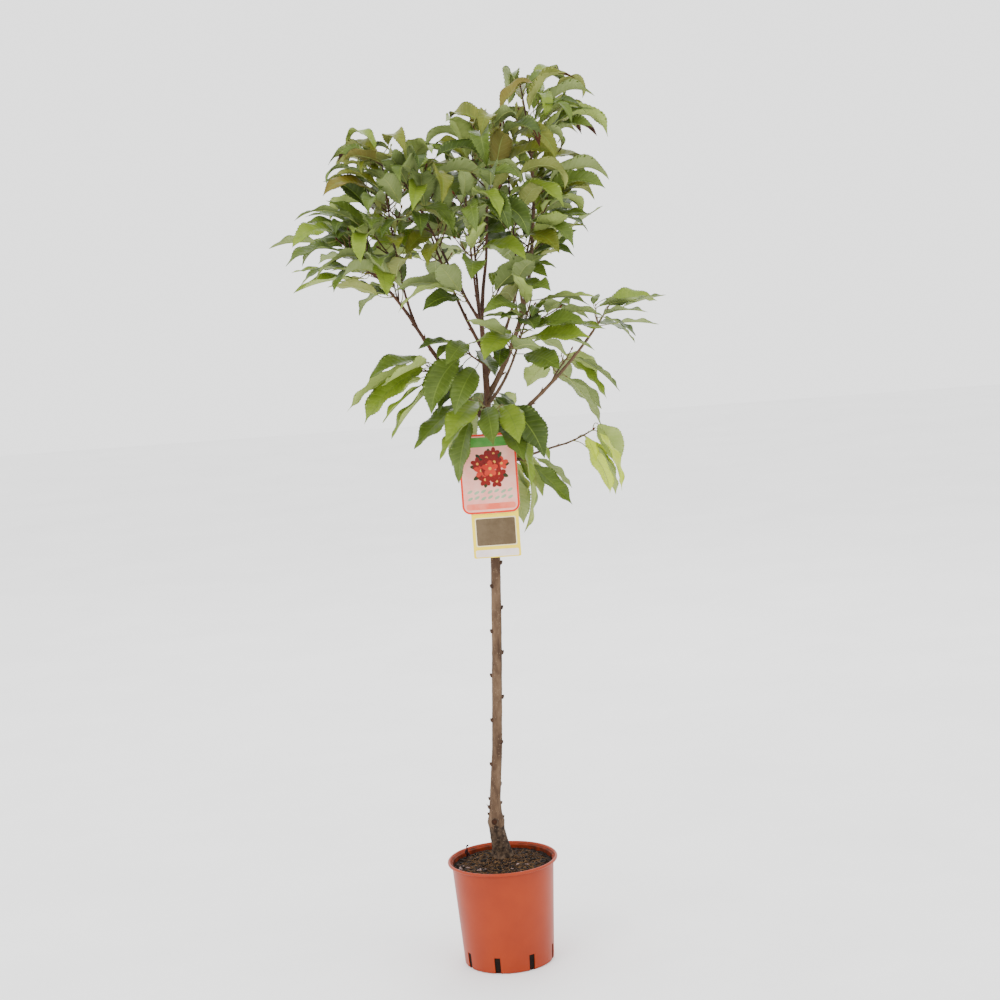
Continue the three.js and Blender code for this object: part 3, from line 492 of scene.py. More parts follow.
# Where the roughness, the folds, the rootstock's swelling and the graft are, and how far they reach.
ROUGH_SPOT, FOLDS_REACH, SWELLING, GRAFT_SPOT = (262, 60), 70, (240, 20), (279, 18)
SWELLING_TALL, BUTTRESS = 2.2, dict(tall=2.2, count=4, turn=0.7, reach=34, power=1.5)
GRAFT_TOP, YOUNG_WOOD_FOOT = 270.0, 1120.0
GRAFT_STUB = dict(height=282, heading=262, rise=0.15, sunk=0.55, radius=6.0, length=4.2, sides=18)
TRUNK_BUDS = dict(first=311, gap=45, count=19, length=6.6, radius=4.4, young=0.7, swing=40, seed=3)
GRAFT_BUD_SIZE = (4.4, 3.08)
GRAFT_BUDS = ((287, 8), (296, 184), (318, 4), (328, 172))
THORN = dict(height=309, heading=186, length=7.5, radius=1.5)
BUD_SHARES, BUD_WIDTHS = (0.0, 0.25, 0.5, 0.75, 0.92, 1.0), (1.0, 1.08, 0.95, 0.62, 0.28, 0.04)
BUD_RISE, BUD_POWER, BUD_SIDES = 1.1, 1.5, 8
STUB_SHARES, STUB_WIDTHS = (0.0, 0.6, 0.9, 1.0, 0.97, 0.7, 0.5), (1.3, 1.15, 1.06, 0.92, 0.7, 0.55, 0.1)
MARK_WAVE, YOUNG_WAVE = (9, 6, 20), 12
AT_ROOT, AT_STEM, AT_YOUNG, AT_SAWN, AT_NUB = range(5)


def trunk_at(height):
    """The trunk's middle and radius at a height."""
    table = np.array(TRUNK)
    x, y, thick = (float(np.interp(height, table[:, 0], table[:, k])) for k in (1, 2, 3))
    return (x, y, height), thick / 2


def hump(place, middle, reach):
    """A soft hump, 1 at its middle."""
    return math.exp(-((place - middle) / reach) ** 2)


def fading(place, middle, reach):
    """1 at a middle, and evenly less to 0 at a reach from it."""
    return max(0.0, 1 - abs(place - middle) / reach)


def bark_layer(layer, height, turn, shift=(0, 0)):
    """One layer of the bark's relief at a place on the trunk."""
    tall, fine, long = layer
    return tall * noise.noise(Vector((fine * math.cos(turn) + shift[0], fine * math.sin(turn),
                                      height / long + shift[1])))


def trunk_relief(height, turn):
    """How far the bark stands out: root buttresses, the graft's swelling, wrinkles and level cork lines."""
    foot, fade = TRUNK[0][0], 1.0 if height < YOUNG_WOOD_FOOT else YOUNG_FADE
    lines = CORK_TALL * max(0.0, bark_layer(CORK, height, turn, CORK_SHIFT) - CORK_CUT)
    rough = bark_layer(ROUGHNESS, height, turn) * fading(height, *ROUGH_SPOT)
    ridges = BUTTRESS['tall'] * math.cos(BUTTRESS['count'] * turn + BUTTRESS['turn'])
    buttress = ridges * fading(height, foot, BUTTRESS['reach']) ** BUTTRESS['power']
    folds = bark_layer(FOLDS, height, turn) * fading(height, foot, FOLDS_REACH)
    graft = bark_layer(GRAFT_SKIN, height, turn, GRAFT_SHIFT) * hump(height, *GRAFT_SPOT)
    swelling = SWELLING_TALL * hump(height, *SWELLING)
    return (bark_layer(WRINKLES, height, turn) + lines) * fade + rough + buttress + folds + graft + swelling


def bud_shape(foot, out, up, length, radius):
    """A pointed bud that leans up along the wood, as a short tube."""
    foot, out, up = (np.asarray(v, float) for v in (foot, out, up))
    route = [foot + length * (out * share + up * BUD_RISE * share ** BUD_POWER) for share in BUD_SHARES]
    return tube(route, [radius * width for width in BUD_WIDTHS], BUD_SIDES)


def stem_bud(shape, height, heading, sunk, rise, length, radius):
    """A bud or thorn on the trunk, at a height and a heading, its foot at a share of the trunk's radius."""
    middle, thick = trunk_at(height)
    out = (math.cos(heading), math.sin(heading), 0)
    foot = [middle[j] + out[j] * thick * sunk for j in range(3)]
    shape.add(*bud_shape(foot, out, (0, 0, rise), length, radius), AT_NUB)


def graft_stub(shape):
    """The sawn stub of the rootstock's top: a short peg with a rounded rim and a hollowed, dark cut face."""
    middle, radius = trunk_at(GRAFT_STUB['height'])
    heading, sides = math.radians(GRAFT_STUB['heading']), GRAFT_STUB['sides']
    out = np.array((math.cos(heading), math.sin(heading), GRAFT_STUB['rise']))
    foot = np.array(middle) + out * radius * GRAFT_STUB['sunk']
    reach = radius * (1 - GRAFT_STUB['sunk']) + GRAFT_STUB['length']
    route = [foot + out * reach * share + (0, 0, 0.02 * k) for k, share in enumerate(STUB_SHARES)]
    points, faces = tube(route, [GRAFT_STUB['radius'] * width for width in STUB_WIDTHS], sides)
    marks = [AT_SAWN if min(face) >= 3 * sides and max(face) < 7 * sides else AT_ROOT for face in faces]
    shape.add(points, faces, marks)


def trunk_shape():
    """The trunk's skin with a mark for rootstock, stem or young wood on each face, its buds and its stub."""
    heights = np.arange(TRUNK[0][0], TRUNK[-1][0] + 0.01, TRUNK_RING_GAP)
    middles = np.array([trunk_at(height)[0] for height in heights])
    smooth = np.array(middles)
    for axis in (0, 1):
        padded = np.pad(middles[:, axis], SMOOTH_RINGS // 2, mode='edge')
        smooth[:, axis] = np.convolve(padded, np.full(SMOOTH_RINGS, 1 / SMOOTH_RINGS), 'valid')
    radii = [trunk_at(height)[1] for height in heights]
    points, faces = tube(smooth, radii, TRUNK_SIDES, lambda k, turn: trunk_relief(heights[k], turn))
    marks, (tall, wide, long) = [], MARK_WAVE
    for face in faces:
        x, y, z = points[face[0]]
        wave = tall * noise.noise(Vector((x / wide, y / wide, z / long)))
        height = z + wave
        young = height > YOUNG_WOOD_FOOT + YOUNG_WAVE * wave
        marks.append(AT_ROOT if height < GRAFT_TOP else AT_YOUNG if young else AT_STEM)
    shape = Parts()
    shape.add(points, faces, marks)
    draw = stream(TRUNK_BUDS['seed'])
    for k in range(TRUNK_BUDS['count']):
        height = TRUNK_BUDS['first'] + TRUNK_BUDS['gap'] * k
        heading = math.radians((0 if k % 2 else 180) + TRUNK_BUDS['swing'] * (2 * draw() - 1))
        size = 1.0 if height < YOUNG_WOOD_FOOT else TRUNK_BUDS['young']
        stem_bud(shape, height, heading, 0.75, 0.7, TRUNK_BUDS['length'] * size, TRUNK_BUDS['radius'] * size)
    for height, heading in GRAFT_BUDS:
        stem_bud(shape, height, math.radians(heading), 0.85, 0.9, *GRAFT_BUD_SIZE)
    stem_bud(shape, THORN['height'], math.radians(THORN['heading']), 0.8, 1.2, THORN['length'],
             THORN['radius'])
    graft_stub(shape)
    return shape


ROOTSTOCK = finish('rootstock_bark', (64, 53, 45), (116, 100, 85), (158, 145, 130), (10, 6.0, 1.5, 0.16),
                   (0.75, 0.95), 1.0, speck_strength=0.45)
STEM_BARK = finish('cherry_bark', (128, 108, 89), (92, 73, 58), (166, 148, 128), (20, 3.2, 1.2, 0.16),
                   (0.6, 0.85), 0.6, speck_strength=0.5, stretch=0.4)
YOUNG_RED = finish('young_red_bark', (111, 83, 68), (84, 62, 52), (156, 134, 114), (22, 2.2, 0.9, 0.13),
                   (0.5, 0.72), 0.25, stretch=0.4)
NUB = finish('nub_bark', (98, 78, 64), (66, 50, 40), (130, 106, 86), (5, 2.4, 0.8, 0.15), (0.7, 0.9), 0.3)
SAWN = finish('sawn_wood', (92, 62, 40), (54, 37, 27), (36, 24, 18), (5, 2.4, 0.8, 0.2), (0.8, 0.95), 0.5)
trunk_shape().piece('trunk_bark', [ROOTSTOCK, STEM_BARK, YOUNG_RED, SAWN, NUB], 'bark', ['trunk'])


# Boughs
# The tree's side limbs, two to three years old, smooth red-brown or tan bark with pale pores and a swelling
# with a bud at every joint. Each grows out of the trunk or a larger bough and ends where its leaves begin.
BOUGH_FIELDS = ('on', 'at', 'heading', 'rise', 'length', 'thick', 'bark')
BOUGHS = {
    'left_low': ('trunk', 1083, 190, (54, 62), 262, (11, 6), 0),
    'left_up': ('bough_left_low', 0.89, 160, (72, 80), 92, (6, 4.2), 0),
    'left_centre': ('trunk', 1276, 205, (58, 68), 140, (6.5, 4.4), 0),
    'right_centre': ('trunk', 1132, 8, (55, 83), 300, (11, 6.4), 1),
    'centre_thin': ('bough_right_centre', 0.62, 205, (84, 87), 90, (5, 3.6), 1),
    'right_low': ('trunk', 1050, 350, (33, 50), 275, (9.5, 5), 1),
    'right_bottom': ('trunk', 985, 8, (22, 10), 160, (6.5, 3.6), 1),
    'back': ('trunk', 1150, 92, (50, 70), 250, (8, 4.6), 0),
    'front': ('trunk', 1262, 262, (52, 70), 120, (6.5, 4.2), 0),
    'back_left': ('trunk', 1222, 132, (52, 64), 170, (7.5, 4.6), 0),
    'back_right': ('trunk', 1172, 46, (48, 66), 200, (8, 4.8), 1),
    'front_right': ('trunk', 1118, 312, (36, 58), 120, (7.5, 4.6), 1),
}
LIMB_STEPS, BOUGH_SIDES, BUD_GAP, GOLDEN_ANGLE = 6, 16, 31.0, 137.5
BARK_RING, JOINT_WIDTH, JOINT_SWELL, COLLAR_REACH, BARK_RELIEF = 3.2, 3.2, 0.16, 9, 0.07
FIRST_JOINT, BARK_FINE, BARK_LONG = 0.6, 2, 3.0
JOINT_BUD = dict(lean=62, shift=50, sunk=0.6, size=(0.7, 0.42), length=2.2, radius=0.62)


def arc(start, heading, turn, rise, tip_rise, length, steps):
    """A curve whose heading and rise, in degrees, change evenly along it."""
    points = [tuple(start)]
    step = length / steps
    for k in range(steps):
        share = (k + 0.5) / steps
        level = math.radians(heading + turn * share)
        up = math.radians(rise + (tip_rise - rise) * share)
        x, y, z = points[-1]
        points.append((x + step * math.cos(up) * math.cos(level), y + step * math.cos(up) * math.sin(level),
                       z + step * math.sin(up)))
    return points


def along(points, share):
    """The point at a share of a route, and the way the route runs there."""
    place = min(max(share, 0), 1) * (len(points) - 1)
    k = min(int(place), len(points) - 2)
    first, second = points[k], points[k + 1]
    step = [second[j] - first[j] for j in range(3)]
    size = math.sqrt(sum(value * value for value in step))
    return tuple(first[j] + step[j] * (place - k) for j in range(3)), tuple(value / size for value in step)


ROUTES = {'trunk': ([(x, y, z) for z, x, y, thick in TRUNK], [row[3] / 2 for row in TRUNK])}


def add_route(name, limb, foot_radius, tip_radius):
    """Keeps a limb's route, and its radius at each point, for what grows on it."""
    on_trunk = limb['on'] == 'trunk'
    start = trunk_at(limb['at'])[0] if on_trunk else along(ROUTES[limb['on']][0], limb['at'])[0]
    points = arc(start, limb['heading'], 0, *limb['rise'], limb['length'], LIMB_STEPS)
    radii = [foot_radius + (tip_radius - foot_radius) * k / LIMB_STEPS for k in range(LIMB_STEPS + 1)]
    ROUTES[name] = (points, radii)


def limb_shape(shape, limb, start, radii, sides, mark, seed, buds=True, collar=0.5):
    """A limb's bark along its fine curve: a collar at the foot, a swelling and a bud at each joint."""
    length = limb['length']
    steps = max(12, int(length / BARK_RING))
    route = arc(start, limb['heading'], 0, *limb['rise'], length, steps)
    joints = [BUD_GAP * (FIRST_JOINT + k) for k in range(int(length / BUD_GAP))]

    def radius_at(distance):
        plain = radii[0] + (radii[1] - radii[0]) * distance / length
        swell = sum(JOINT_SWELL * plain * hump(distance, joint, JOINT_WIDTH) for joint in joints)
        return plain + swell + collar * plain * math.exp(-distance / COLLAR_REACH)

    def relief(k, turn):
        layer = (BARK_RELIEF * radii[0], BARK_FINE, BARK_LONG)
        return bark_layer(layer, length * k / steps, turn, (seed, 0))

    widths = [radius_at(length * k / steps) for k in range(steps + 1)]
    shape.add(*tube(np.array(route), widths, sides, relief), mark)
    if not buds:
        return
    for k, joint in enumerate(joints[1:], 1):
        spot, way = along(route, joint / length)
        out = lean_off(way, GOLDEN_ANGLE * k + JOINT_BUD['shift'] * seed, JOINT_BUD['lean'])
        foot = [spot[j] + out[j] * radius_at(joint) * JOINT_BUD['sunk'] for j in range(3)]
        size = vary(JOINT_BUD['size'], radius_at(joint))
        shape.add(*bud_shape(foot, out, way, JOINT_BUD['length'] * size, JOINT_BUD['radius'] * size), mark)


def unit(a):
    size = math.sqrt(a[0] ** 2 + a[1] ** 2 + a[2] ** 2)
    return (a[0] / size, a[1] / size, a[2] / size)


def cross(a, b):
    return (a[1] * b[2] - a[2] * b[1], a[2] * b[0] - a[0] * b[2], a[0] * b[1] - a[1] * b[0])


def lean_off(way, around, lean):
    """A way leant off another by an angle, to the side given by an angle round it."""
    side = unit(cross(way, (0, 0, 1)) if abs(way[2]) < 0.999 else (1, 0, 0))
    other = cross(side, way)
    around, lean = math.radians(around), math.radians(lean)
    return unit(tuple(way[k] * math.cos(lean) + (side[k] * math.cos(around) + other[k] * math.sin(around))
                      * math.sin(lean) for k in range(3)))


YOUNG_TAN = finish('young_tan_bark', (124, 102, 82), (98, 80, 65), (164, 148, 126), (20, 2.2, 0.9, 0.14),
                   (0.5, 0.72), 0.25, stretch=0.5)
for number, (name, row) in enumerate(BOUGHS.items()):
    node, limb = 'bough_' + name, dict(zip(BOUGH_FIELDS, row))
    add_route(node, limb, limb['thick'][0] / 2, limb['thick'][1] / 2)
    points, radii = ROUTES[node]
    bough = Parts()
    limb_shape(bough, limb, points[0], (radii[0], radii[-1]), BOUGH_SIDES, limb['bark'], number)
    bough.piece(node + '_bark', [YOUNG_RED, YOUNG_TAN], 'bark', [node])


# Shoots
# The wood of each mass of foliage: a shoot that carries on from its bough, and twigs off it, thin and smooth.
# They are grown here by the same rule as the solids, so they start and reach where those do.
# Each row holds the mass's fields, then what it does in its own way.
MASS_FIELDS = ('on', 'at', 'heading', 'rise', 'length', 'twigs', 'leaf_gap', 'reach', 'seed')
MASS_ROWS = {
    'left_out': (('bough_left_low', 1, 188, (58, 44), 195, 4, 20, 185, 260), dict(outward=0.8)),
    'left_up': (('bough_left_up', 1, 170, (82, 88), 240, 5, 22, 185, 251), dict(outward=0.6)),
    'left_centre': (('bough_left_centre', 1, 195, (68, 62), 185, 4, 19, 175, 360), {}),
    'leader': (('trunk', 1470, 60, (82, 90), 175, 4, 21, 175, 488), {}),
    'right_top': (('bough_right_centre', 1, 20, (81, 99), 310, 5, 21, 185, 434), {}),
    'centre_thin': (('bough_centre_thin', 1, 205, (88, 89), 265, 2, 24, 160, 55), {}),
    'right_out': (('bough_right_low', 1, 350, (50, 57), 85, 0, 14, 150, 189),
                  dict(outward=0.5, lift=-24, leaf=100)),
    'right_bottom': (('bough_right_bottom', 1, 8, (16, 28), 60, 0, 12, 150, 372), dict(outward=0.8)),
    'right_mid': (('bough_right_low', 0.62, 60, (40, 20), 60, 0, 10, 150, 99), dict(lift=-14)),
    'back': (('bough_back', 1, 92, (70, 82), 200, 4, 30, 175, 248), {}),
    'fork': (('bough_left_centre', 0.3, 250, (40, 50), 55, 0, 11, 150, 235), {}),
    'trunk_mid': (('trunk', 1196, 222, (30, 36), 60, 0, 11, 150, 381), dict(lift=-8)),
    'fork_right': (('trunk', 1296, 20, (40, 55), 60, 0, 11, 150, 215), {}),
    'front': (('bough_front', 1, 262, (70, 84), 190, 3, 21, 165, 165), {}),
    'back_left': (('bough_back_left', 1, 132, (60, 76), 210, 4, 25, 175, 103), {}),
    'back_right': (('bough_back_right', 1, 46, (60, 76), 210, 4, 25, 175, 275), {}),
    'front_right': (('bough_front_right', 1, 312, (58, 66), 130, 3, 22, 165, 101), {}),
    'skirt_left': (('bough_left_low', 0.5, 222, (0, 10), 56, 0, 6, 170, 228), dict(leaf=142)),
    'skirt_front': (('trunk', 1112, 232, (10, 10), 44, 0, 7, 160, 502), {}),
    'skirt_right': (('trunk', 1100, 330, (14, 10), 50, 0, 7, 160, 45), {}),
    'skirt_low': (('trunk', 1012, 24, (6, -24), 78, 0, 8, 165, 66), dict(lift=-6)),
    'skirt_back': (('trunk', 1100, 96, (14, 14), 60, 0, 9, 160, 329), {}),
}
MASSES = {name: dict(zip(MASS_FIELDS, row), **habits) for name, (row, habits) in MASS_ROWS.items()}
NAMES, OWN_WOOD = list(MASSES), 1000
SHORT_SHOOT, SIDE_FOOT, SHOOT_TIP, TRUNK_TIP_HEIGHT = 90.0, 2.4, 1.3, 1470
STEM_BARE, SHORT_BARE, TWIG_BARE = 0.12, 0.25, 0.3
TWIG = dict(first=0.08, span=0.66, place=(0.3, 0.7), swing=30, lean=(48, 62), up=18, length=75,
            size=(0.75, 1.25), foot=1.5, tip=1.0, room=2, steps=2)
ROOM_OWN, ROOM_OTHER, ROOM_STEM, SAMPLE_GAP, NEARBY = 7.0, 12.0, 3.0, 12.0, 40
# The two cards, which leaves and twigs keep clear of.
FRONT_TAG = dict(middle=28, width=112, bottom=908, top=1064, front=-18, curl=3.5, corner=16, strap=1066.5)
BACK_TAG = dict(middle=34, width=92, bottom=820, top=1034, front=-13.6, curl=0.0, corner=3, strap=1037)
TAG_GRID, TAG_ROOM = 14, 3


class Crowd:
    """Sample points of what has grown so far, each with its owner and the room it keeps round itself."""

    def __init__(self):
        self.points, self.rooms, self.owners = np.zeros((0, 3)), np.zeros(0), np.zeros(0, int)

    def add(self, points, rooms, owner):
        points = np.array(points, float)
        self.points = np.vstack([self.points, points])
        self.rooms = np.concatenate([self.rooms, np.broadcast_to(np.asarray(rooms, float), len(points))])
        self.owners = np.concatenate([self.owners, np.full(len(points), owner)])

    def clear(self, points, owner, own, other, stem):
        """Whether points keep their distance to all samples near them."""
        points = np.array(points, float)
        near = np.all((self.points > points.min(0) - NEARBY) & (self.points < points.max(0) + NEARBY), axis=1)
        if not near.any():
            return True
        apart = np.sqrt(((points[:, None, :] - self.points[near][None]) ** 2).sum(2))
        owners = self.owners[near]
        kept = np.where(owners == owner, own, np.where(owners == owner + OWN_WOOD, stem, other))
        return bool((apart >= (self.rooms[near] + kept)[None, :]).all())


def limb_samples(points, radii):
    """Points close together along a limb, with its radius at each."""
    spots, rooms = [], []
    for k in range(len(points) - 1):
        count = max(1, int(math.ceil(math.dist(points[k], points[k + 1]) / SAMPLE_GAP)))
        for step in range(count):
            share = step / count
            spots.append(tuple(points[k][j] + (points[k + 1][j] - points[k][j]) * share for j in range(3)))
            rooms.append(radii[k] + (radii[k + 1] - radii[k]) * share)
    return spots + [points[-1]], rooms + [radii[-1]]


def between(bounds, draw_value):
    """The value that a draw from 0 to 1 gives between two bounds."""
    return bounds[0] + (bounds[1] - bounds[0]) * draw_value


for name, mass in MASSES.items():
    if mass['on'] == 'trunk':
        foot_radius = trunk_at(mass['at'])[1] if mass['at'] >= TRUNK_TIP_HEIGHT else SIDE_FOOT
    else:
        foot_radius = ROUTES[mass['on']][1][-1] if mass['at'] == 1 else SIDE_FOOT
    add_route(name, mass, foot_radius, SHOOT_TIP)
crowd = Crowd()
for name, (points, radii) in ROUTES.items():
    spots, rooms = limb_samples(points, radii)
    crowd.add(spots, rooms, NAMES.index(name) + OWN_WOOD if name in MASSES else -1)
for tag in (FRONT_TAG, BACK_TAG):
    left, bottom = tag['middle'] - tag['width'] / 2, tag['bottom']
    columns, rows = (int(span / TAG_GRID) + 1 for span in (tag['width'], tag['top'] - bottom))
    crowd.add([(left + TAG_GRID * c, tag['front'], bottom + TAG_GRID * r) for c in range(columns)
               for r in range(rows)], TAG_ROOM, -1)


def bearing(way):
    """A way's heading and rise, in degrees."""
    return math.degrees(math.atan2(way[1], way[0])), math.degrees(math.asin(max(-1, min(1, way[2]))))


def grow_shoots(name, draw):
    """A mass's shoot and its twigs, as routes with radii and the bare share at the foot."""
    mass, owner = MASSES[name], NAMES.index(name)
    stem, radii = ROUTES[name]
    shoots = [(stem, radii, STEM_BARE if mass['length'] > SHORT_SHOOT else SHORT_BARE)]
    start, steps = draw() * 360, TWIG['steps']
    widths = [TWIG['foot'] + (TWIG['tip'] - TWIG['foot']) * j / steps for j in range(steps + 1)]
    for k in range(mass['twigs']):
        share = TWIG['first'] + TWIG['span'] * (k + between(TWIG['place'], draw())) / mass['twigs']
        point, way = along(stem, share)
        around = start + GOLDEN_ANGLE * k + TWIG['swing'] * (draw() - 0.5)
        heading, rise = bearing(lean_off(way, around, between(TWIG['lean'], draw())))
        length = TWIG['length'] * between(TWIG['size'], draw())
        points = arc(point, heading, 0, rise, rise + TWIG['up'], length, steps)
        spots, rooms = limb_samples(points[1:], widths[1:])
        if crowd.clear(spots, owner, ROOM_OWN, ROOM_OTHER, TWIG['room']):
            crowd.add(spots, rooms, owner + OWN_WOOD)
            shoots.append((points, widths, TWIG_BARE))
    return shoots


# Leaves
# Where each leaf grows. Cherry leaves spring from the shoots turn by turn, each on a slim stalk, and keep
# clear of each other, of the wood and of the cards. Low ones hang, those near the top stand up and hook over.
LEAF_LENGTH, STALK_LENGTH, STALK_BEND, LEAF_STEPS, OUTWARD = 128.0, 30.0, 0.6, 8, 0.35
LEAF_DRAWS = ('sizing', 'sweep', 'roll', 'angle', 'lifting', 'drooping', 'widening')
# The least value of each, and what a draw from 0 to 1 adds to it.
LEAF_SIZE, LEAF_WIDEN, LEAF_FOLD, LEAF_DROOP = (0.86, 0.3), (-0.05, 0.1), (6, 14), (0.25, 1.5)
STALK_LEAN, STALK_SIZE, HOOK_SPREAD = (46, 18), (0.8, 0.4), (0.4, 0.9)
TURN_SWING, ROLL_SWING, LIFT_SWING, RISE_RANGE = 50, 70, 40, (-85, 80)
HOOK, HOOK_RANGE, RISE_KEPT = 1.15, (1420, 1620), 0.3
# A leaf's length by its place on the shoot, longest in the middle.
LENGTH_SHARES, LENGTH_SPAN = (0.78, 0.22), (0.15, 0.7)
TRIES, TRY_TURN = 5, 67
TREE_AXIS = (34, 0)
# Height, lift of a leaf's foot, its mean droop along it, and its width as a share of its length.
POSTURE = np.array(((960, -52, 24, 0.43), (1160, -32, 34, 0.43), (1290, 24, 44, 0.40), (1520, 30, 62, 0.36),
                    (1720, 42, 106, 0.31)))
SAMPLE_SHARES = (0.08, 0.22, 0.36, 0.5, 0.64, 0.78, 0.94)
BOX_SLACK = 8.0
MASS_BOXES = {name: tuple(np.array(edge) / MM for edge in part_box('leaves_' + name)) for name in MASSES}


def spread(share):
    """The leaf's half width at a share of its length, 1 where it is widest."""
    return np.sin(math.pi * share ** 0.93) ** 0.9 * (1 - 0.3 * share ** 6)


def make_leaf(points, share, around, values, mass, scale=1.0):
    """A leaf's foot, stalk and midrib for its place on a shoot and its draws."""
    point, way = along(points, share)
    stalk_way = lean_off(way, around, vary(STALK_LEAN, values['angle']))
    lift, droop, slim = (float(np.interp(point[2], POSTURE[:, 0], POSTURE[:, k])) for k in (1, 2, 3))
    off = (point[0] - TREE_AXIS[0], point[1] - TREE_AXIS[1])
    far = math.hypot(*off) + 1
    pull = mass.get('outward', OUTWARD)
    heading = math.degrees(math.atan2(stalk_way[1] + pull * off[1] / far, stalk_way[0] + pull * off[0] / far))
    length = mass.get('leaf', LEAF_LENGTH) * vary(LENGTH_SHARES, math.sin(math.pi * vary(LENGTH_SPAN, share)))
    length *= vary(LEAF_SIZE, values['sizing']) * scale
    lift += mass.get('lift', 0)
    rise = math.degrees(math.asin(stalk_way[2])) * RISE_KEPT + lift + LIFT_SWING * (values['lifting'] - 0.5)
    rise = min(max(rise, RISE_RANGE[0]), RISE_RANGE[1])
    droop *= vary(LEAF_DROOP, values['drooping'])
    stalk = STALK_LENGTH * vary(STALK_SIZE, values['angle']) * scale
    level, up = math.radians(heading), math.radians(rise)
    lie = (math.cos(up) * math.cos(level), math.cos(up) * math.sin(level), math.sin(up))
    stalk_out = unit(tuple(stalk_way[k] + STALK_BEND * lie[k] for k in range(3)))
    base = tuple(point[k] + stalk_out[k] * stalk for k in range(3))
    turn = TURN_SWING * (values['sweep'] - 0.5)
    hook = HOOK * float(np.interp(point[2], HOOK_RANGE, (0, 1))) * vary(HOOK_SPREAD, values['sweep'])
    width = length * (slim + LEAF_WIDEN[0] + LEAF_WIDEN[1] * values['widening'])
    return dict(point=point, base=base, stalk_way=stalk_way, heading=heading, turn=turn, rise=rise,
                droop=droop, length=length, width=width, roll=ROLL_SWING * (values['roll'] - 0.5),
                fold=vary(LEAF_FOLD, values['widening']), hook=hook,
                route=arc(base, heading, turn, rise, rise - droop, length, LEAF_STEPS))


def blade_frame(leaf, share, route=None):
    """The midrib's place, the way to the right and the way up at a share of a leaf's length."""
    centre, forward = along(route or leaf['route'], share)
    level_turn = math.radians(leaf['heading'] + leaf['turn'] * share)
    roll = math.radians(leaf['roll'])
    level = (-math.sin(level_turn), math.cos(level_turn), 0)
    over = cross(forward, level)
    side = tuple(level[k] * math.cos(roll) + over[k] * math.sin(roll) for k in range(3))
    return centre, side, cross(forward, side)


def leaf_samples(leaf):
    """Points over a leaf that keep clear of the rest."""
    point, base = leaf['point'], leaf['base']
    spots = [tuple(point[k] + (base[k] - point[k]) * share for k in range(3)) for share in (0.5, 0.85)]
    for share in SAMPLE_SHARES:
        centre, side, up = blade_frame(leaf, share)
        half = leaf['width'] / 2 * spread(share)
        rise = half * math.tan(math.radians(leaf['fold']))
        for out in (-0.8, 0, 0.8):
            spots.append(tuple(centre[k] + side[k] * half * out + up[k] * rise * abs(out) for k in range(3)))
    return spots


def room_in_box(name, leaf):
    """Whether a leaf stays where its mass's solid is."""
    low, high = MASS_BOXES[name]
    spots = np.array(leaf_samples(leaf) + [leaf['route'][-1]])
    return bool((spots > low - BOX_SLACK).all() and (spots < high + BOX_SLACK).all())


def try_leaf(name, points, share, around, values, scale=1.0, boxed=False):
    """Turns a leaf about its shoot until it has room, and gives it, or None where there is none. A boxed leaf
    also has to stay where its mass's solid is."""
    owner, mass = NAMES.index(name), MASSES[name]
    for attempt in range(TRIES):
        leaf = make_leaf(points, share, around + TRY_TURN * attempt, values, mass, scale)
        if min(math.dist(leaf['route'][-1], spot) for spot in ROUTES[name][0]) > mass['reach']:
            continue
        if boxed and not room_in_box(name, leaf):
            continue
        samples = leaf_samples(leaf)
        if crowd.clear(samples, owner, ROOM_OWN, ROOM_OTHER, ROOM_STEM):
            crowd.add(samples, 0, owner)
            return leaf
    return None


def route_length(points):
    return sum(math.dist(first, second) for first, second in zip(points, points[1:]))


SHOOTS, LEAVES = {}, {}
for name, mass in MASSES.items():
    draw = stream(mass['seed'])
    SHOOTS[name] = grow_shoots(name, draw)
    LEAVES[name] = []
    for points, radii, bare in SHOOTS[name]:
        count = max(1, int(round(route_length(points) * (1 - bare) / mass['leaf_gap'])))
        around = draw() * 360
        for k in range(count + 1):
            around += GOLDEN_ANGLE + 24 * (draw() - 0.5)
            values = {key: draw() for key in LEAF_DRAWS}
            leaf = try_leaf(name, points, bare + (1 - bare) * k / count, around, values)
            if leaf:
                LEAVES[name].append(leaf)


# Leafy spurs and fine twigs
# The last growth off the shoots: short spurs, each with a rosette of leaves, that fill a mass out to its
# edge, and then thin green-brown twiglets with a few small young leaves. Both grow where there is still room.
SPUR = dict(gap=45, lean=(42, 70), up=10, length=(22, 50), radii=(1.5, 1.4, 1.2, 1.0),
            own_room=5, wood_room=2, leaves=5, first_leaf=0.35, scale=(0.7, 1.1))
TWIGLET = dict(gap=40, lean=(42, 60), up=15, length=(20, 40), radii=(1.0, 0.9, 0.75, 0.6),
               own_room=2, wood_room=1.5, leaves=3, first_leaf=0.55, scale=(0.3, 0.55))
SPUR_SEED, TWIGLET_SEED = 50, 77


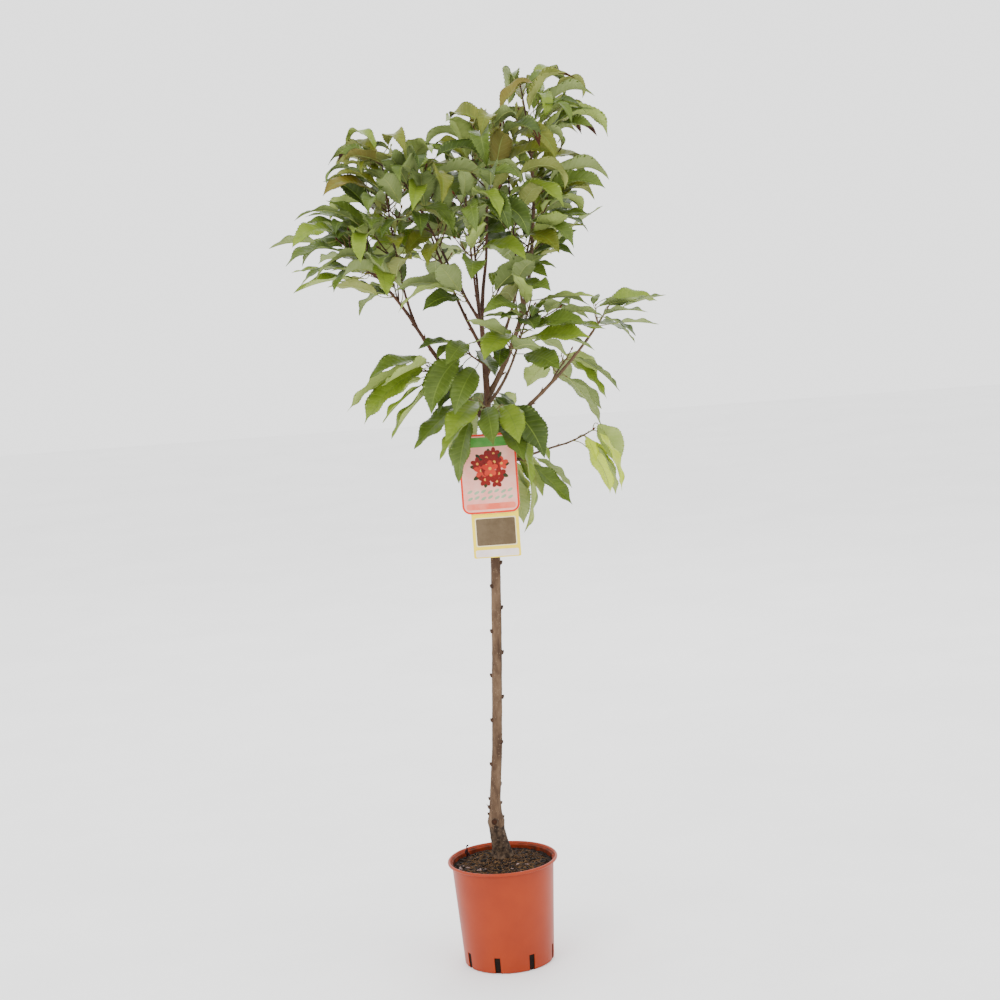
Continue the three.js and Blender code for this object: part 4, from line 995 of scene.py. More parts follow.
def grow_side(name, draw, kind):
    """Side growths of a kind off a mass's shoots, as routes, with their leaves added to the mass's leaves."""
    owner, routes = NAMES.index(name), []
    for points, _, bare in SHOOTS[name]:
        size, foot = route_length(points), 0.5 * bare
        for k in range(int(size * (1 - foot) / kind['gap'])):
            point, way = along(points, foot + (1 - foot) * (k + draw()) * kind['gap'] / size)
            around = GOLDEN_ANGLE * k + 60 * draw()
            heading, rise = bearing(lean_off(way, around, between(kind['lean'], draw())))
            length, steps = between(kind['length'], draw()), len(kind['radii']) - 1
            route = arc(point, heading, 0, rise, rise + kind['up'], length, steps)
            spots, rooms = limb_samples(route[1:], kind['radii'][1:])
            if not crowd.clear(spots, owner, kind['own_room'], ROOM_OTHER, kind['wood_room']):
                continue
            crowd.add(spots, rooms, owner + OWN_WOOD)
            grown = []
            for leaf_number in range(kind['leaves']):
                values = {key: draw() for key in LEAF_DRAWS}
                around = GOLDEN_ANGLE * leaf_number + 90 * draw()
                share = kind['first_leaf'] + (1 - kind['first_leaf']) * leaf_number / (kind['leaves'] - 1)
                scale = between(kind['scale'], draw())
                grown.append(try_leaf(name, route, share, around, values, scale, boxed=True))
            grown = [leaf for leaf in grown if leaf]
            if grown:
                routes.append(route)
                LEAVES[name] += grown
    return routes


draw = stream(SPUR_SEED)
for name in MASSES:
    SHOOTS[name] += [(route, SPUR['radii'], TWIG_BARE) for route in grow_side(name, draw, SPUR)]
draw = stream(TWIGLET_SEED)
FINE_TWIGS = {name: grow_side(name, draw, TWIGLET) for name in MASSES}


# Shoot bark
# The skin of the shoots, twigs and twiglets: reddish or olive-brown, smooth, with a bud in the angle of every
# leaf's stalk and a pointed bud at each tip.
GREEN_WOOD = finish('green_twig_bark', (110, 96, 56), (126, 84, 54), (168, 150, 110), (14, 1.8, 0.8, 0.12),
                    (0.5, 0.7), 0.12, speck_strength=0.5)
BUD_BROWN = finish('bud_scales', (98, 56, 36), (126, 78, 48), (70, 38, 28), (5, 2, 0.7, 0.15), (0.45, 0.65),
                   0.15)
SHOOT_SIDES, TWIG_SIDES, TWIGLET_SIDES, NODE_SWELL, TIP_TAPER = 12, 8, 6, 0.1, 0.6
TIP_BUD, TWIGLET_BUD, LEAF_BUD = (6.5, 1.7), (3.6, 0.95), (3.4, 0.95)


def smooth_tube(shape, points, radii, sides, mark, rings_per_step=5):
    """A bark tube along a coarse route, its corners rounded off, with faint swellings."""
    points, knots = np.array(points), np.arange(len(points))
    places = np.linspace(0, len(points) - 1, (len(points) - 1) * rings_per_step + 1)
    route = np.stack([np.interp(places, knots, points[:, k]) for k in range(3)], 1)
    for _ in range(2):
        route[1:-1] = (route[:-2] + 2 * route[1:-1] + route[2:]) / 4
    widths = np.interp(places, knots, radii) * (1 + NODE_SWELL * np.cos(places * 2 * math.pi) ** 8)
    widths[-1] *= TIP_TAPER
    shape.add(*tube(route, widths, sides), mark)


for number, (name, mass) in enumerate(MASSES.items()):
    shape = Parts()
    for k, (points, radii, bare) in enumerate(SHOOTS[name]):
        if k == 0:
            ends = (radii[0], radii[-1])
            limb_shape(shape, mass, points[0], ends, SHOOT_SIDES, 0, number, buds=False, collar=0.25)
        else:
            smooth_tube(shape, points, radii, TWIG_SIDES, 0)
        shape.add(*bud_shape(*along(points, 1.0), (0, 0, 0.2), *TIP_BUD), 2)
    for route in FINE_TWIGS[name]:
        smooth_tube(shape, route, TWIGLET['radii'], TWIGLET_SIDES, 1, rings_per_step=3)
        shape.add(*bud_shape(*along(route, 1.0), (0, 0, 0.2), *TWIGLET_BUD), 2)
    for leaf in LEAVES[name]:
        x, y, z = leaf['stalk_way']
        shape.add(*bud_shape(leaf['point'], unit((x, y, z + 1.2)), (0, 0, 0.3), *LEAF_BUD), 2)
    wood = YOUNG_TAN if 'right' in name else YOUNG_RED
    shape.piece('shoots_' + name, [wood, GREEN_WOOD, BUD_BROWN], 'bark', ['leaves_' + name])


# Stalks
# Each leaf's slim green stalk, soft and a little darker in patches, with two small dark-red glands below the
# blade. It runs on under the blade as the raised midrib.
STALK_RADIUS, STALK_TAPER, STALK_RINGS, RIB_TAPER, RIB_RINGS = 0.95, (1.25, 0.85), 8, (0.95, 0.25), 13
RIB_STEPS, RIB_END, RIB_SINK, HOOK_START, HOOK_POWER = 32, 30, 0.45, 0.58, 1.7
GLAND_RADII, GLAND_OFF, GLAND_ENDS = (0.7, 0.95, 0.35), 0.9, (0.5, 0.7)
SMALL_STALK, CURVE_ENDS = (0.55, 0.45), (0.4, 0.35)
STALK_GREEN = finish('leaf_stalk', (142, 148, 90), (136, 116, 84), (116, 126, 70), (11, 1.6, 0.7, 0.1),
                     (0.45, 0.6), 0.08)
RIB_GREEN = finish('leaf_midrib', (178, 186, 124), (162, 174, 106), (196, 200, 146), (12, 2, 0.8, 0.1),
                   (0.5, 0.7), 0.08)
GLAND_RED = finish('leaf_gland', (110, 34, 34), (84, 24, 28), (150, 70, 58), (2, 1, 0.5, 0.1), (0.3, 0.45),
                   0.05)


def fine_route(leaf):
    """A leaf's midrib in small steps, hooked down towards its tip, and the way along it at each step."""
    points = arc(leaf['base'], leaf['heading'], leaf['turn'], leaf['rise'], leaf['rise'] - leaf['droop'],
                 leaf['length'], RIB_STEPS)
    hooked = []
    for k, point in enumerate(points):
        up = blade_frame(leaf, k / RIB_STEPS, points)[2]
        drop = leaf['hook'] * leaf['length'] * max(0.0, k / RIB_STEPS - HOOK_START) ** HOOK_POWER
        hooked.append([point[j] - up[j] * drop for j in range(3)])
    points = np.array(hooked)
    ways = np.gradient(points, axis=0)
    return points, ways / np.linalg.norm(ways, axis=1)[:, None]


def curve_between(start, start_way, end, end_way, count):
    """A smooth curve from one place and way to another."""
    start, end = np.array(start), np.array(end)
    span = np.linalg.norm(end - start)
    first = start + np.array(start_way) * span * CURVE_ENDS[0]
    second = end - np.array(end_way) * span * CURVE_ENDS[1]
    shares = np.linspace(0, 1, count)[:, None]
    return ((1 - shares) ** 3 * start + 3 * (1 - shares) ** 2 * shares * first
            + 3 * (1 - shares) * shares ** 2 * second + shares ** 3 * end)


for name in MASSES:
    shape = Parts()
    for leaf in LEAVES[name]:
        small = min(1.0, vary(SMALL_STALK, leaf['length'] / LEAF_LENGTH))
        rib, ways = fine_route(leaf)
        curve = curve_between(leaf['point'], leaf['stalk_way'], rib[0], ways[0], STALK_RINGS)
        shape.add(*tube(curve, np.linspace(*STALK_TAPER, STALK_RINGS) * STALK_RADIUS * small, 6), 0)
        picks = np.linspace(0, RIB_END, RIB_RINGS).astype(int)
        under = np.array([blade_frame(leaf, pick / RIB_STEPS, rib.tolist())[2] for pick in picks])
        route = rib[picks] - under * RIB_SINK * small
        shape.add(*tube(route, np.linspace(*RIB_TAPER, RIB_RINGS) * small, 5), 1)
        side = np.array(blade_frame(leaf, 0.0)[1])
        for way in (-1, 1):
            spot = curve[-2] + side * way * GLAND_OFF * small
            gland = [spot - side * way * GLAND_ENDS[0], spot, spot + side * way * GLAND_ENDS[1]]
            shape.add(*tube(gland, [radius * small for radius in GLAND_RADII], 6), 2)
    shape.piece('stalks_' + name, [STALK_GREEN, RIB_GREEN, GLAND_RED], 'foliage', ['leaves_' + name])


# Blades
# The leaves' flat green parts: two skins joined along a toothed margin, folded a little along the midrib,
# puckered between the side veins and waved at the edge. Young leaves differ in colour, darker ones are
# painted shade inside the crown, bright yellow-green ones low on the right are painted light through the
# leaf, and some near the top have dry brown tips.
LEAF_ROWS, SMALL_ROWS, SMALL_LEAF, ROWS_PER_VEIN, SKIN = 48, 28, 85, 4, 0.22
ACROSS = np.array((-1.0, -0.78, -0.52, -0.27, -0.035, 0.035, 0.27, 0.52, 0.78, 1.0))
SMALL_ACROSS = ACROSS[[0, 2, 4, 5, 7, 9]]
CHEVRON, TOOTH, PUCKER, WAVE, NARROW = 0.1, 1.15, 0.6, 3.2, 12
BLADE_SPAN, LAST_SHARE, TIP_PINCH, PINCH_START = (0.012, 0.978), 0.995, 0.3, 0.8
WAVE_BEATS, WAVE_SHIFT, WAVE_POWER, FOLD_POWER, CRISP_BEAT = (13, 6), 1.9, 3, 1.2, 2.6
PUFFS = np.array((-0.6, -0.6, 0.7, 0.7))
CRISP_HEIGHT, CRISP_SHARE, CRISP_START, CRISP_UNEVEN = 1580, 0.3, 0.8, 0.06
VEIN_STEPS, VEIN_PALE, VEIN_SHOW = np.array((0.0, 0.1, 0.4, 0.7)), (196, 206, 150), 0.14
FOLD_RANGE, FOLD_GAIN = (1330, 1600), 1.2
BLADE_SEED = 9


def leaf_finish(name, base, patch, gloss):
    return finish(name, base, patch, None, (24, 3.2, 1.1, 0.1), gloss, 0.12, speck_strength=0.35)


TINTS = {
    # 'shade' is painted shade: darker leaves that stand for leaves in the crown's shadow, dealt most inside
    # and at the back.
    'shade': ((84, 100, 48), (94, 110, 54), (136, 149, 98), (144, 156, 106)),
    'leaf': ((103, 119, 58), (114, 130, 66), (149, 161, 110), (157, 168, 118)),
    'fresh': ((128, 146, 62), (140, 156, 70), (163, 177, 110), (171, 183, 118)),
    # 'sunlit' is painted light: bright yellow-green that stands for light shining through the low leaves on
    # the right.
    'sunlit': ((176, 190, 58), (188, 202, 70), (190, 206, 86), (200, 212, 98)),
    'olive': ((116, 123, 54), (131, 135, 60), (151, 157, 99), (159, 163, 105)),
    'rusty': ((132, 126, 60), (128, 117, 58), (151, 149, 94), (149, 141, 88)),
}
LEAF_FINISHES, TINT_NUMBERS = [], {}


def veined(colour):
    """A leaf's colour, paler towards that of its veins."""
    return tuple(colour[k] + (VEIN_PALE[k] - colour[k]) * VEIN_SHOW for k in range(3))


for tint, (upper, upper_patch, under, under_patch) in TINTS.items():
    TINT_NUMBERS[tint] = len(LEAF_FINISHES)
    LEAF_FINISHES += [leaf_finish(tint + '_upper', upper, upper_patch, (0.36, 0.5)),
                      leaf_finish(tint + '_under', under, under_patch, (0.6, 0.8)),
                      leaf_finish(tint + '_upper_vein', veined(upper), veined(upper_patch), (0.5, 0.7)),
                      leaf_finish(tint + '_under_vein', veined(under), veined(under_patch), (0.5, 0.7))]
RIB_UPPER, CRISP_BROWN = len(LEAF_FINISHES), len(LEAF_FINISHES) + 2
LEAF_FINISHES += [leaf_finish('rib_upper', (122, 138, 70), (134, 150, 80), (0.4, 0.55)),
                  leaf_finish('rib_under', (176, 184, 128), (186, 194, 138), (0.55, 0.7)),
                  leaf_finish('crisp_tip', (92, 60, 36), (66, 42, 28), (0.7, 0.9))]
DEALS = {
    'top': (('olive', 0.28), ('leaf', 0.38), ('fresh', 0.2), ('rusty', 0.03), ('shade', 0.11)),
    'middle': (('leaf', 0.48), ('shade', 0.3), ('fresh', 0.16), ('olive', 0.06)),
    # Painted shade: the masses at the back and inside the crown take mostly the 'shade' tint.
    'inner': (('shade', 0.55), ('leaf', 0.37), ('fresh', 0.08)),
    'low_left': (('fresh', 0.6), ('leaf', 0.4)),
    # Painted light: the low right mass takes mostly the 'sunlit' tint.
    'low_right': (('sunlit', 0.72), ('fresh', 0.28)),
    'low': (('leaf', 0.46), ('fresh', 0.36), ('shade', 0.18)),
}
MASS_DEALS = dict(left_up='top', leader='top', right_top='top', centre_thin='top', right_bottom='low_right',
                  skirt_right='low', skirt_low='low', skirt_left='low_left', skirt_front='low', back='inner',
                  back_left='inner', trunk_mid='inner', skirt_back='inner')


def deal(name, value):
    """The tint that a draw from 0 to 1 gives a leaf of a mass."""
    for tint, share in DEALS[MASS_DEALS.get(name, 'middle')]:
        value -= share
        if value < 0:
            return tint
    return 'leaf'


def blade(leaf, tint, draw, is_crisp):
    """A leaf's blade: corners of its upper and under skins, its faces and their finishes."""
    rows, across = (LEAF_ROWS, ACROSS) if leaf['length'] > SMALL_LEAF else (SMALL_ROWS, SMALL_ACROSS)
    columns, row_numbers = len(across), np.arange(rows + 1)
    rib, ways = fine_route(leaf)
    veins = (row_numbers // ROWS_PER_VEIN + VEIN_STEPS[row_numbers % ROWS_PER_VEIN]) * ROWS_PER_VEIN / rows
    along_leaf = vary(BLADE_SPAN, veins[:, None])
    out, hand = np.abs(across)[None, :], np.sign(across)
    shares = np.minimum(along_leaf + CHEVRON * out * np.sin(math.pi * along_leaf) ** 0.7, LAST_SHARE)
    place, knots = shares * (len(rib) - 1), np.arange(len(rib))
    middle, forward = (np.stack([np.interp(place, knots, line[:, k]) for k in range(3)], 2)
                       for line in (rib, ways))
    turn = np.radians(leaf['heading'] + leaf['turn'] * shares)
    roll = math.radians(leaf['roll'])
    level = np.stack([-np.sin(turn), np.cos(turn), np.zeros_like(turn)], 2)
    side = level * math.cos(roll) + np.cross(forward, level) * math.sin(roll)
    up = np.cross(forward, side)
    pinch = 1 - TIP_PINCH * np.clip((shares - PINCH_START) / (1 - PINCH_START), 0, 1)
    half = leaf['width'] / 2 * spread(shares) * pinch
    size = leaf['length'] / LEAF_LENGTH
    wide = np.minimum(half / NARROW, 1)
    teeth = np.where(row_numbers % 2, 1.0, -1.0)[:, None] * TOOTH * size * (out > 0.99)
    gain = 1 + FOLD_GAIN * np.clip((leaf['point'][2] - FOLD_RANGE[0]) / (FOLD_RANGE[1] - FOLD_RANGE[0]), 0, 1)
    fold = math.radians(leaf['fold'] * gain)
    reach = hand * (half * out * math.cos(fold) + teeth * wide)
    phase, beat = ANY_WAY * draw(), vary(WAVE_BEATS, draw())
    wave = WAVE * size * out ** WAVE_POWER * np.sin(beat * shares + phase + WAVE_SHIFT * hand)
    puff = PUCKER * size * PUFFS[row_numbers % ROWS_PER_VEIN][:, None] * np.sin(math.pi * np.minimum(out, 1))
    lift = half * math.sin(fold) * out ** FOLD_POWER + (wave + puff) * wide
    spots = middle + side * reach[:, :, None] + up * lift[:, :, None]
    points = np.concatenate([(spots + up * SKIN).reshape(-1, 3), (spots - up * SKIN).reshape(-1, 3)])
    shift = (rows + 1) * columns
    start = (np.arange(rows)[:, None] * columns + np.arange(columns - 1)[None, :]).ravel()
    top = np.stack([start, start + columns, start + columns + 1, start + 1], 1)
    edge = np.arange(rows) * columns
    left = np.stack([edge, edge + shift, edge + shift + columns, edge + columns], 1)
    first = np.arange(columns - 1)
    foot = np.stack([first, first + 1, first + 1 + shift, first + shift], 1)
    faces = np.concatenate([top, top[:, ::-1] + shift, left, left[:, ::-1] + columns - 1, foot,
                            foot[:, ::-1] + rows * columns])
    number = TINT_NUMBERS[tint]
    skins = np.full((rows, columns - 1), number)
    skins[:-3:ROWS_PER_VEIN] = number + 2
    skins[:-3, columns // 2 - 1] = RIB_UPPER
    crisp_edge = CRISP_START + CRISP_UNEVEN * np.sin(CRISP_BEAT * first + phase)
    late = (np.linspace(0, 1, rows)[:, None] > crisp_edge[None, :]) & is_crisp
    upper, lower = (np.where(late, CRISP_BROWN, skin).ravel() for skin in (skins, skins + 1))
    rest = np.full(2 * rows + 2 * (columns - 1), number)
    return points, faces.tolist(), np.concatenate([upper, lower, rest]).tolist()


draw = stream(BLADE_SEED)
for name in MASSES:
    shape = Parts()
    for leaf in LEAVES[name]:
        tint = deal(name, draw())
        is_crisp = leaf['point'][2] > CRISP_HEIGHT and draw() < CRISP_SHARE
        shape.add(*blade(leaf, tint, draw, is_crisp))
    shape.piece('blades_' + name, LEAF_FINISHES, 'foliage', ['leaves_' + name])


# Front label
# A glossy printed hang tag of coated card on a loop round the trunk: a plain design of dark-red blossoms on
# pale pink inside a green-topped orange border. It hangs flat against the stem, a little bowed.
CARD_THICK, INK_THICK, PETAL_THICK, STRAP_SLACK, STRAP_HEIGHT, STRAP_SIDES = 0.8, 0.1, 0.14, 0.7, 6.0, 28
TAB_WIDTH, TAB_DROPS = 12, (2.6, 5, 5, 9)
FRONT_MIDDLE = (FRONT_TAG['top'] + FRONT_TAG['bottom']) / 2
FRONT_TALL = FRONT_TAG['top'] - FRONT_TAG['bottom']
STREAKS = dict(count=14, row=7, gap=13, line=12, left=39, foot=30, size=(5.6, 2.6), turn=0.5, lift=0.24)
SPRAY = dict(centre=(31.0, 996.0), spread=8.6, count=12, size=15.5, lift=0.36)
SPRAY_LEAVES = dict(count=9, out=26, size=(13, 4.6), lift=0.3)
PETALS = dict(count=5, turn=0.3, out=0.55, size=(0.5, 0.34), lift=0.004, heart=0.2, heart_lift=0.04)


def rounded(width, height, corner, steps=7):
    """A rectangle's outline with round corners, about its middle."""
    outline = []
    for turn, (sx, sz) in enumerate(((1, 1), (-1, 1), (-1, -1), (1, -1))):
        for k in range(steps + 1):
            angle = math.radians(90 * turn + 90 * k / steps)
            outline.append((sx * (width / 2 - corner) + corner * math.cos(angle),
                            sz * (height / 2 - corner) + corner * math.sin(angle)))
    return outline


def card_front(tag, x):
    """The card's front face at a place: flat, or bowed back at its sides."""
    share = 2 * (x - tag['middle']) / tag['width']
    return tag['front'] + tag['curl'] * share ** 2


def card_sheet(shape, tag, outline, centre, lift, thick, mark, columns=12):
    """A thin sheet of an outline, bowed with its card, lift in front of it."""
    work = bmesh.new()
    corners = [work.verts.new((centre[0] + x, 0.0, centre[1] + z)) for x, z in outline]
    work.faces.new(corners)
    low, high = min(x for x, z in outline) + centre[0], max(x for x, z in outline) + centre[0]
    for k in range(1, columns):
        geometry = work.verts[:] + work.edges[:] + work.faces[:]
        bmesh.ops.bisect_plane(work, geom=geometry, plane_co=(low + (high - low) * k / columns, 0, 0),
                               plane_no=(1, 0, 0), dist=1e-6)
    work.verts.index_update()
    flat = [(v.co.x, v.co.z) for v in work.verts]
    fronts = [tuple(v.index for v in face.verts) for face in work.faces]
    rims = [tuple(v.index for v in edge.verts) for edge in work.edges if len(edge.link_faces) == 1]
    work.free()
    count = len(flat)
    points = [(x, card_front(tag, x) - lift + depth, z) for depth in (0.0, thick) for x, z in flat]
    faces = list(fronts)
    faces += [tuple(k + count for k in reversed(face)) for face in fronts]
    faces += [(a, b, b + count, a + count) for a, b in rims]
    shape.add(points, faces, mark)


def disc(radius_x, radius_z, sides=20, turn=0.0, shift=(0.0, 0.0)):
    """An oval outline, turned about its middle."""
    outline = []
    for k in range(sides):
        x, z = radius_x * math.cos(2 * math.pi * k / sides), radius_z * math.sin(2 * math.pi * k / sides)
        outline.append((shift[0] + x * math.cos(turn) - z * math.sin(turn),
                        shift[1] + x * math.sin(turn) + z * math.cos(turn)))
    return outline


def sprinkle(turn, out, stretch=1.0):
    """A place on the front card at an angle and a distance from the spray's middle."""
    return (SPRAY['centre'][0] + out * math.cos(turn), SPRAY['centre'][1] + stretch * out * math.sin(turn))


def blossom(shape, tag, centre, size, lift, petal_mark, heart_mark):
    """A plain five-petalled flower of thin ink layers on a card."""
    out, (long, wide) = PETALS['out'] * size, PETALS['size']
    for k in range(PETALS['count']):
        turn = 2 * math.pi * k / PETALS['count'] + PETALS['turn']
        petal = disc(long * size, wide * size, 16, turn, (out * math.cos(turn), out * math.sin(turn)))
        card_sheet(shape, tag, petal, centre, lift + PETALS['lift'] * k, PETAL_THICK, petal_mark, 2)
    heart = disc(PETALS['heart'] * size, PETALS['heart'] * size, 12)
    card_sheet(shape, tag, heart, centre, lift + PETALS['heart_lift'], PETAL_THICK, heart_mark, 2)


def add_strap(shape, tag, mark):
    """The card's loop round the trunk and the tab that joins them."""
    middle, radius = trunk_at(tag['strap'])
    inner, outer = radius + STRAP_SLACK, radius + STRAP_SLACK + CARD_THICK
    low, high = tag['strap'] - STRAP_HEIGHT / 2, tag['strap'] + STRAP_HEIGHT / 2
    points = [turned(reach, 2 * math.pi * k / STRAP_SIDES, height, middle) for k in range(STRAP_SIDES)
              for reach in (inner, outer) for height in (low, high)]
    faces = []
    for k in range(STRAP_SIDES):
        a, b = 4 * k, 4 * ((k + 1) % STRAP_SIDES)
        faces += [(a, b, b + 1, a + 1), (a + 2, a + 3, b + 3, b + 2)]
        faces += [(a, a + 2, b + 2, b), (a + 1, b + 1, b + 3, a + 3)]
    shape.add(points, faces, mark)
    front, card = middle[1] - inner - CARD_THICK, card_front(tag, middle[0]) + 0.1
    above, below, first, second = TAB_DROPS
    tab = [(middle[0] + x, y, z) for z, y in ((tag['strap'] + above, front), (tag['strap'] - below, front),
                                              (tag['top'] - first, card), (tag['top'] - second, card))
           for x in (-TAB_WIDTH / 2, TAB_WIDTH / 2)]
    tab += [(x, y + CARD_THICK, z) for x, y, z in tab]
    faces = []
    for k in (0, 2, 4):
        faces += [(k, k + 1, k + 3, k + 2), (k + 8, k + 10, k + 11, k + 9)]
        faces += [(k, k + 2, k + 10, k + 8), (k + 1, k + 9, k + 11, k + 3)]
    shape.add(tab, faces + [(0, 8, 9, 1), (6, 7, 15, 14)], mark)


def print_finish(name, base, patch, gloss=(0.22, 0.34)):
    return finish(name, base, patch, patch, (26, 5, 0.8, 0.06), gloss, 0.02, speck_strength=0.2)


def lay_sheets(shape, tag, sheets):
    """Round-cornered sheets on a card, each by its width, height, corner and middle height, and then its
    lift, thickness, mark and columns."""
    for width, tall, corner, height, *rest in sheets:
        card_sheet(shape, tag, rounded(width, tall, corner), (tag['middle'], height), *rest)


INKS = [print_finish('card_white', (236, 228, 222), (228, 216, 212), (0.4, 0.5)),
        print_finish('border_orange', (224, 78, 34), (214, 70, 30)),
        print_finish('band_green', (92, 150, 70), (112, 164, 90)),
        print_finish('field_pink', (236, 190, 178), (236, 172, 162)),
        print_finish('pale_green_streak', (168, 188, 160), (156, 178, 150)),
        print_finish('petal_dark_red', (132, 34, 26), (150, 44, 32)),
        print_finish('petal_rose', (196, 72, 54), (206, 88, 66)),
        print_finish('heart_cream', (226, 176, 96), (216, 160, 84)),
        print_finish('print_dark_leaf', (72, 84, 44), (60, 70, 38)),
        print_finish('band_salmon', (232, 124, 100), (236, 150, 130))]
WHITE, ORANGE, GREEN, PINK, STREAK, DARK_RED, ROSE, CREAM, LEAF_GREEN, SALMON = range(len(INKS))
front_card = Parts()
wide, corner = FRONT_TAG['width'], FRONT_TAG['corner']
lay_sheets(front_card, FRONT_TAG, (
    (wide, FRONT_TALL, corner, FRONT_MIDDLE, 0.0, CARD_THICK, WHITE, 12),
    (wide - 0.4, FRONT_TALL - 0.4, corner, FRONT_MIDDLE, 0.08, INK_THICK, ORANGE, 12),
    (wide - 8, FRONT_TALL - 8, corner - 4, FRONT_MIDDLE, 0.16, INK_THICK, PINK, 12),
    (wide - 14, 19, 9, FRONT_TAG['top'] - 16, 0.24, INK_THICK, GREEN, 12),
    (wide - 16, 12, 5, FRONT_TAG['bottom'] + 14, 0.24, INK_THICK, SALMON, 12)))
for k in range(STREAKS['count']):
    line, place = divmod(k, STREAKS['row'])
    spot = (FRONT_TAG['middle'] - STREAKS['left'] + STREAKS['gap'] * place,
            FRONT_TAG['bottom'] + STREAKS['foot'] + STREAKS['line'] * line + 2 * (k % 2))
    streak = disc(*STREAKS['size'], 18, STREAKS['turn'])
    card_sheet(front_card, FRONT_TAG, streak, spot, STREAKS['lift'], INK_THICK, STREAK, 4)
for k in range(SPRAY_LEAVES['count']):
    turn = math.radians(40 * k + 12)
    leaf, spot = disc(*SPRAY_LEAVES['size'], 18, turn), sprinkle(turn, SPRAY_LEAVES['out'])
    card_sheet(front_card, FRONT_TAG, leaf, spot, SPRAY_LEAVES['lift'] + 0.003 * k, INK_THICK, LEAF_GREEN, 4)
for k in range(SPRAY['count']):
    spot = sprinkle(math.radians(GOLDEN_ANGLE * k), SPRAY['spread'] * math.sqrt(k), 1.05)
    blossom(front_card, FRONT_TAG, spot, SPRAY['size'] - 0.3 * k, SPRAY['lift'] + 0.06 * (SPRAY['count'] - k),
            DARK_RED if k % 4 else ROSE, CREAM)
add_strap(front_card, FRONT_TAG, WHITE)
front_card.piece('tag_front', INKS, 'label_card', ['label_front'], smooth=False)


# Back label
# A longer yellow card behind the first, on its own loop, with a bare grey-brown panel in a pale thin frame
# and a whitish foot.
BACK_INKS = [print_finish('card_yellow', (246, 224, 78), (240, 216, 66), (0.35, 0.45)),
             print_finish('panel_grey_brown', (126, 111, 90), (114, 99, 78), (0.4, 0.5)),
             print_finish('panel_line', (236, 226, 190), (226, 214, 176), (0.4, 0.5)), INKS[WHITE]]
YELLOW, BROWN, LINE, FOOT_WHITE = range(len(BACK_INKS))
back_card = Parts()
back_tall, corner = BACK_TAG['top'] - BACK_TAG['bottom'], BACK_TAG['corner']
lay_sheets(back_card, BACK_TAG, (
    (BACK_TAG['width'], back_tall, corner, BACK_TAG['bottom'] + back_tall / 2, 0.0, CARD_THICK, YELLOW, 4),
    (80, 57, corner, 871, 0.1, INK_THICK, LINE, 3), (76, 53, corner, 871, 0.18, INK_THICK, BROWN, 3),
    (84, 14, corner, 829, 0.1, INK_THICK, FOOT_WHITE, 3)))
add_strap(back_card, BACK_TAG, YELLOW)
back_card.piece('tag_back', BACK_INKS, 'label_yellow', ['label_back'], smooth=False)


# Tie
# A dark soft plastic tie, wound twice round the trunk above the labels, with its pale cut end standing up on
# the left.
TIE_FOOT, TIE_MIDDLE, TIE_RADIUS, TIE_SUNK = 1085.0, 1088.0, 1.7, 0.8
TIE_STEPS, TIE_TURNS, TIE_START, TIE_CLIMB = 48, 2, 2.4, 6.5
CUT_END, CUT_RADII = ((0, 0, 0), (-2.5, -0.6, 2), (-4.5, -1, 5.5), (-5.5, -1, 9)), [1.7, 2.2, 2.2, 1.5]
TIE_DARK = finish('tie_plastic', (46, 42, 44), (60, 54, 54), (90, 84, 80), (12, 3, 1, 0.08), (0.45, 0.6), 0.1)
TIE_END = finish('tie_cut_end', (206, 196, 184), (190, 178, 166), (150, 136, 124), (5, 2, 0.8, 0.1),
                 (0.5, 0.65), 0.1)
tie = Parts()
tie_middle, tie_inner = trunk_at(TIE_MIDDLE)
tie_route = [turned(tie_inner + TIE_RADIUS * TIE_SUNK, 2 * math.pi * TIE_TURNS * k / TIE_STEPS + TIE_START,
                    TIE_FOOT + TIE_CLIMB * k / TIE_STEPS, tie_middle) for k in range(TIE_STEPS + 1)]
tie.add(*tube(np.array(tie_route), [TIE_RADIUS] * (TIE_STEPS + 1), 8), 0)
tie.add(*tube(np.array(CUT_END) + tie_route[-1], CUT_RADII, 8), 1)
tie.piece('trunk_tie', [TIE_DARK, TIE_END], 'bark', ['trunk'])


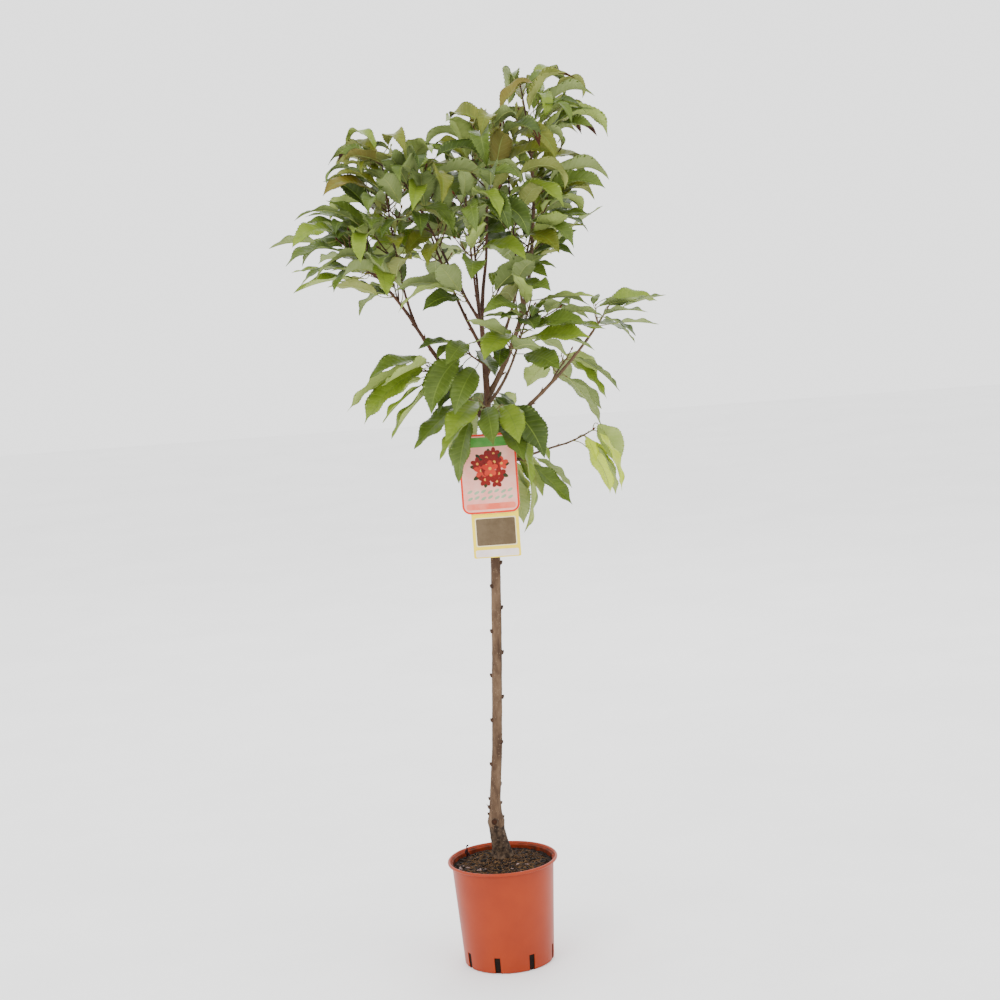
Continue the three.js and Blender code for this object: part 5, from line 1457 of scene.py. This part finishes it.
# Studio
# A pale matt floor under three large soft lamps and an even white sky, seen from the photograph's place. The
# camera looks a little down and is rolled a little, as the photograph is.
FLOOR_SIZE, FLOOR_STEPS, FLOOR_LEVEL = 9.0, 6, -0.0005
LAMPS = (('key_light', (-2.6, -3.2, 3.4), (0, 0, 1.0), 2.6, 90),
         ('fill_light', (3.2, -2.6, 2.2), (0, 0, 0.9), 2.8, 25),
         ('back_light', (0.6, 3.2, 3.4), (0, 0, 1.1), 2.6, 60))
SKY_STRENGTH = 2.2
CAMERA_PLACE, CAMERA_PITCH, CAMERA_ROLL, CAMERA_LENS, CAMERA_FILM = (0.046, -4.5, 1.63), 8.84, 4.1, 84.2, 36
floor_mesh = bpy.data.meshes.new('studio_floor')
work = bmesh.new()
bmesh.ops.create_grid(work, x_segments=FLOOR_STEPS, y_segments=FLOOR_STEPS, size=FLOOR_SIZE,
                      matrix=Matrix.Translation((0, 0, FLOOR_LEVEL)))
work.to_mesh(floor_mesh)
work.free()
floor_mesh.materials.append(finish('studio_floor', (250, 250, 250), (247, 247, 247), (250, 250, 250),
                                   (400, 40, 4, 0.02), (0.85, 0.95), 0.01))
floor = bpy.data.objects.new('studio_floor', floor_mesh)
bpy.context.scene.collection.objects.link(floor)
for name, place, target, size, power in LAMPS:
    lamp = bpy.data.lights.new(name, 'AREA')
    lamp.size, lamp.energy = size, power
    made = bpy.data.objects.new(name, lamp)
    made.location = place
    made.rotation_euler = (Vector(target) - Vector(place)).to_track_quat('-Z', 'Y').to_euler()
    bpy.context.scene.collection.objects.link(made)
world = bpy.data.worlds.new('studio_air')
world.use_nodes = True
world.node_tree.nodes['Background'].inputs['Color'].default_value = (1, 1, 1, 1)
world.node_tree.nodes['Background'].inputs['Strength'].default_value = SKY_STRENGTH
bpy.context.scene.world = world
pitch, roll = math.radians(CAMERA_PITCH), math.radians(CAMERA_ROLL)
look = Vector((0, math.cos(pitch), -math.sin(pitch)))
right, above = Vector((1, 0, 0)), Vector((0, math.sin(pitch), math.cos(pitch)))
axis_x = right * math.cos(roll) - above * math.sin(roll)
axis_y = right * math.sin(roll) + above * math.cos(roll)
lens = bpy.data.cameras.new('photo_camera')
lens.lens, lens.sensor_width = CAMERA_LENS, CAMERA_FILM
camera = bpy.data.objects.new('photo_camera', lens)
bpy.context.scene.collection.objects.link(camera)
camera.matrix_world = Matrix.Translation(CAMERA_PLACE) @ Matrix((axis_x, axis_y, -look)).transposed().to_4x4()
bpy.context.scene.camera = camera
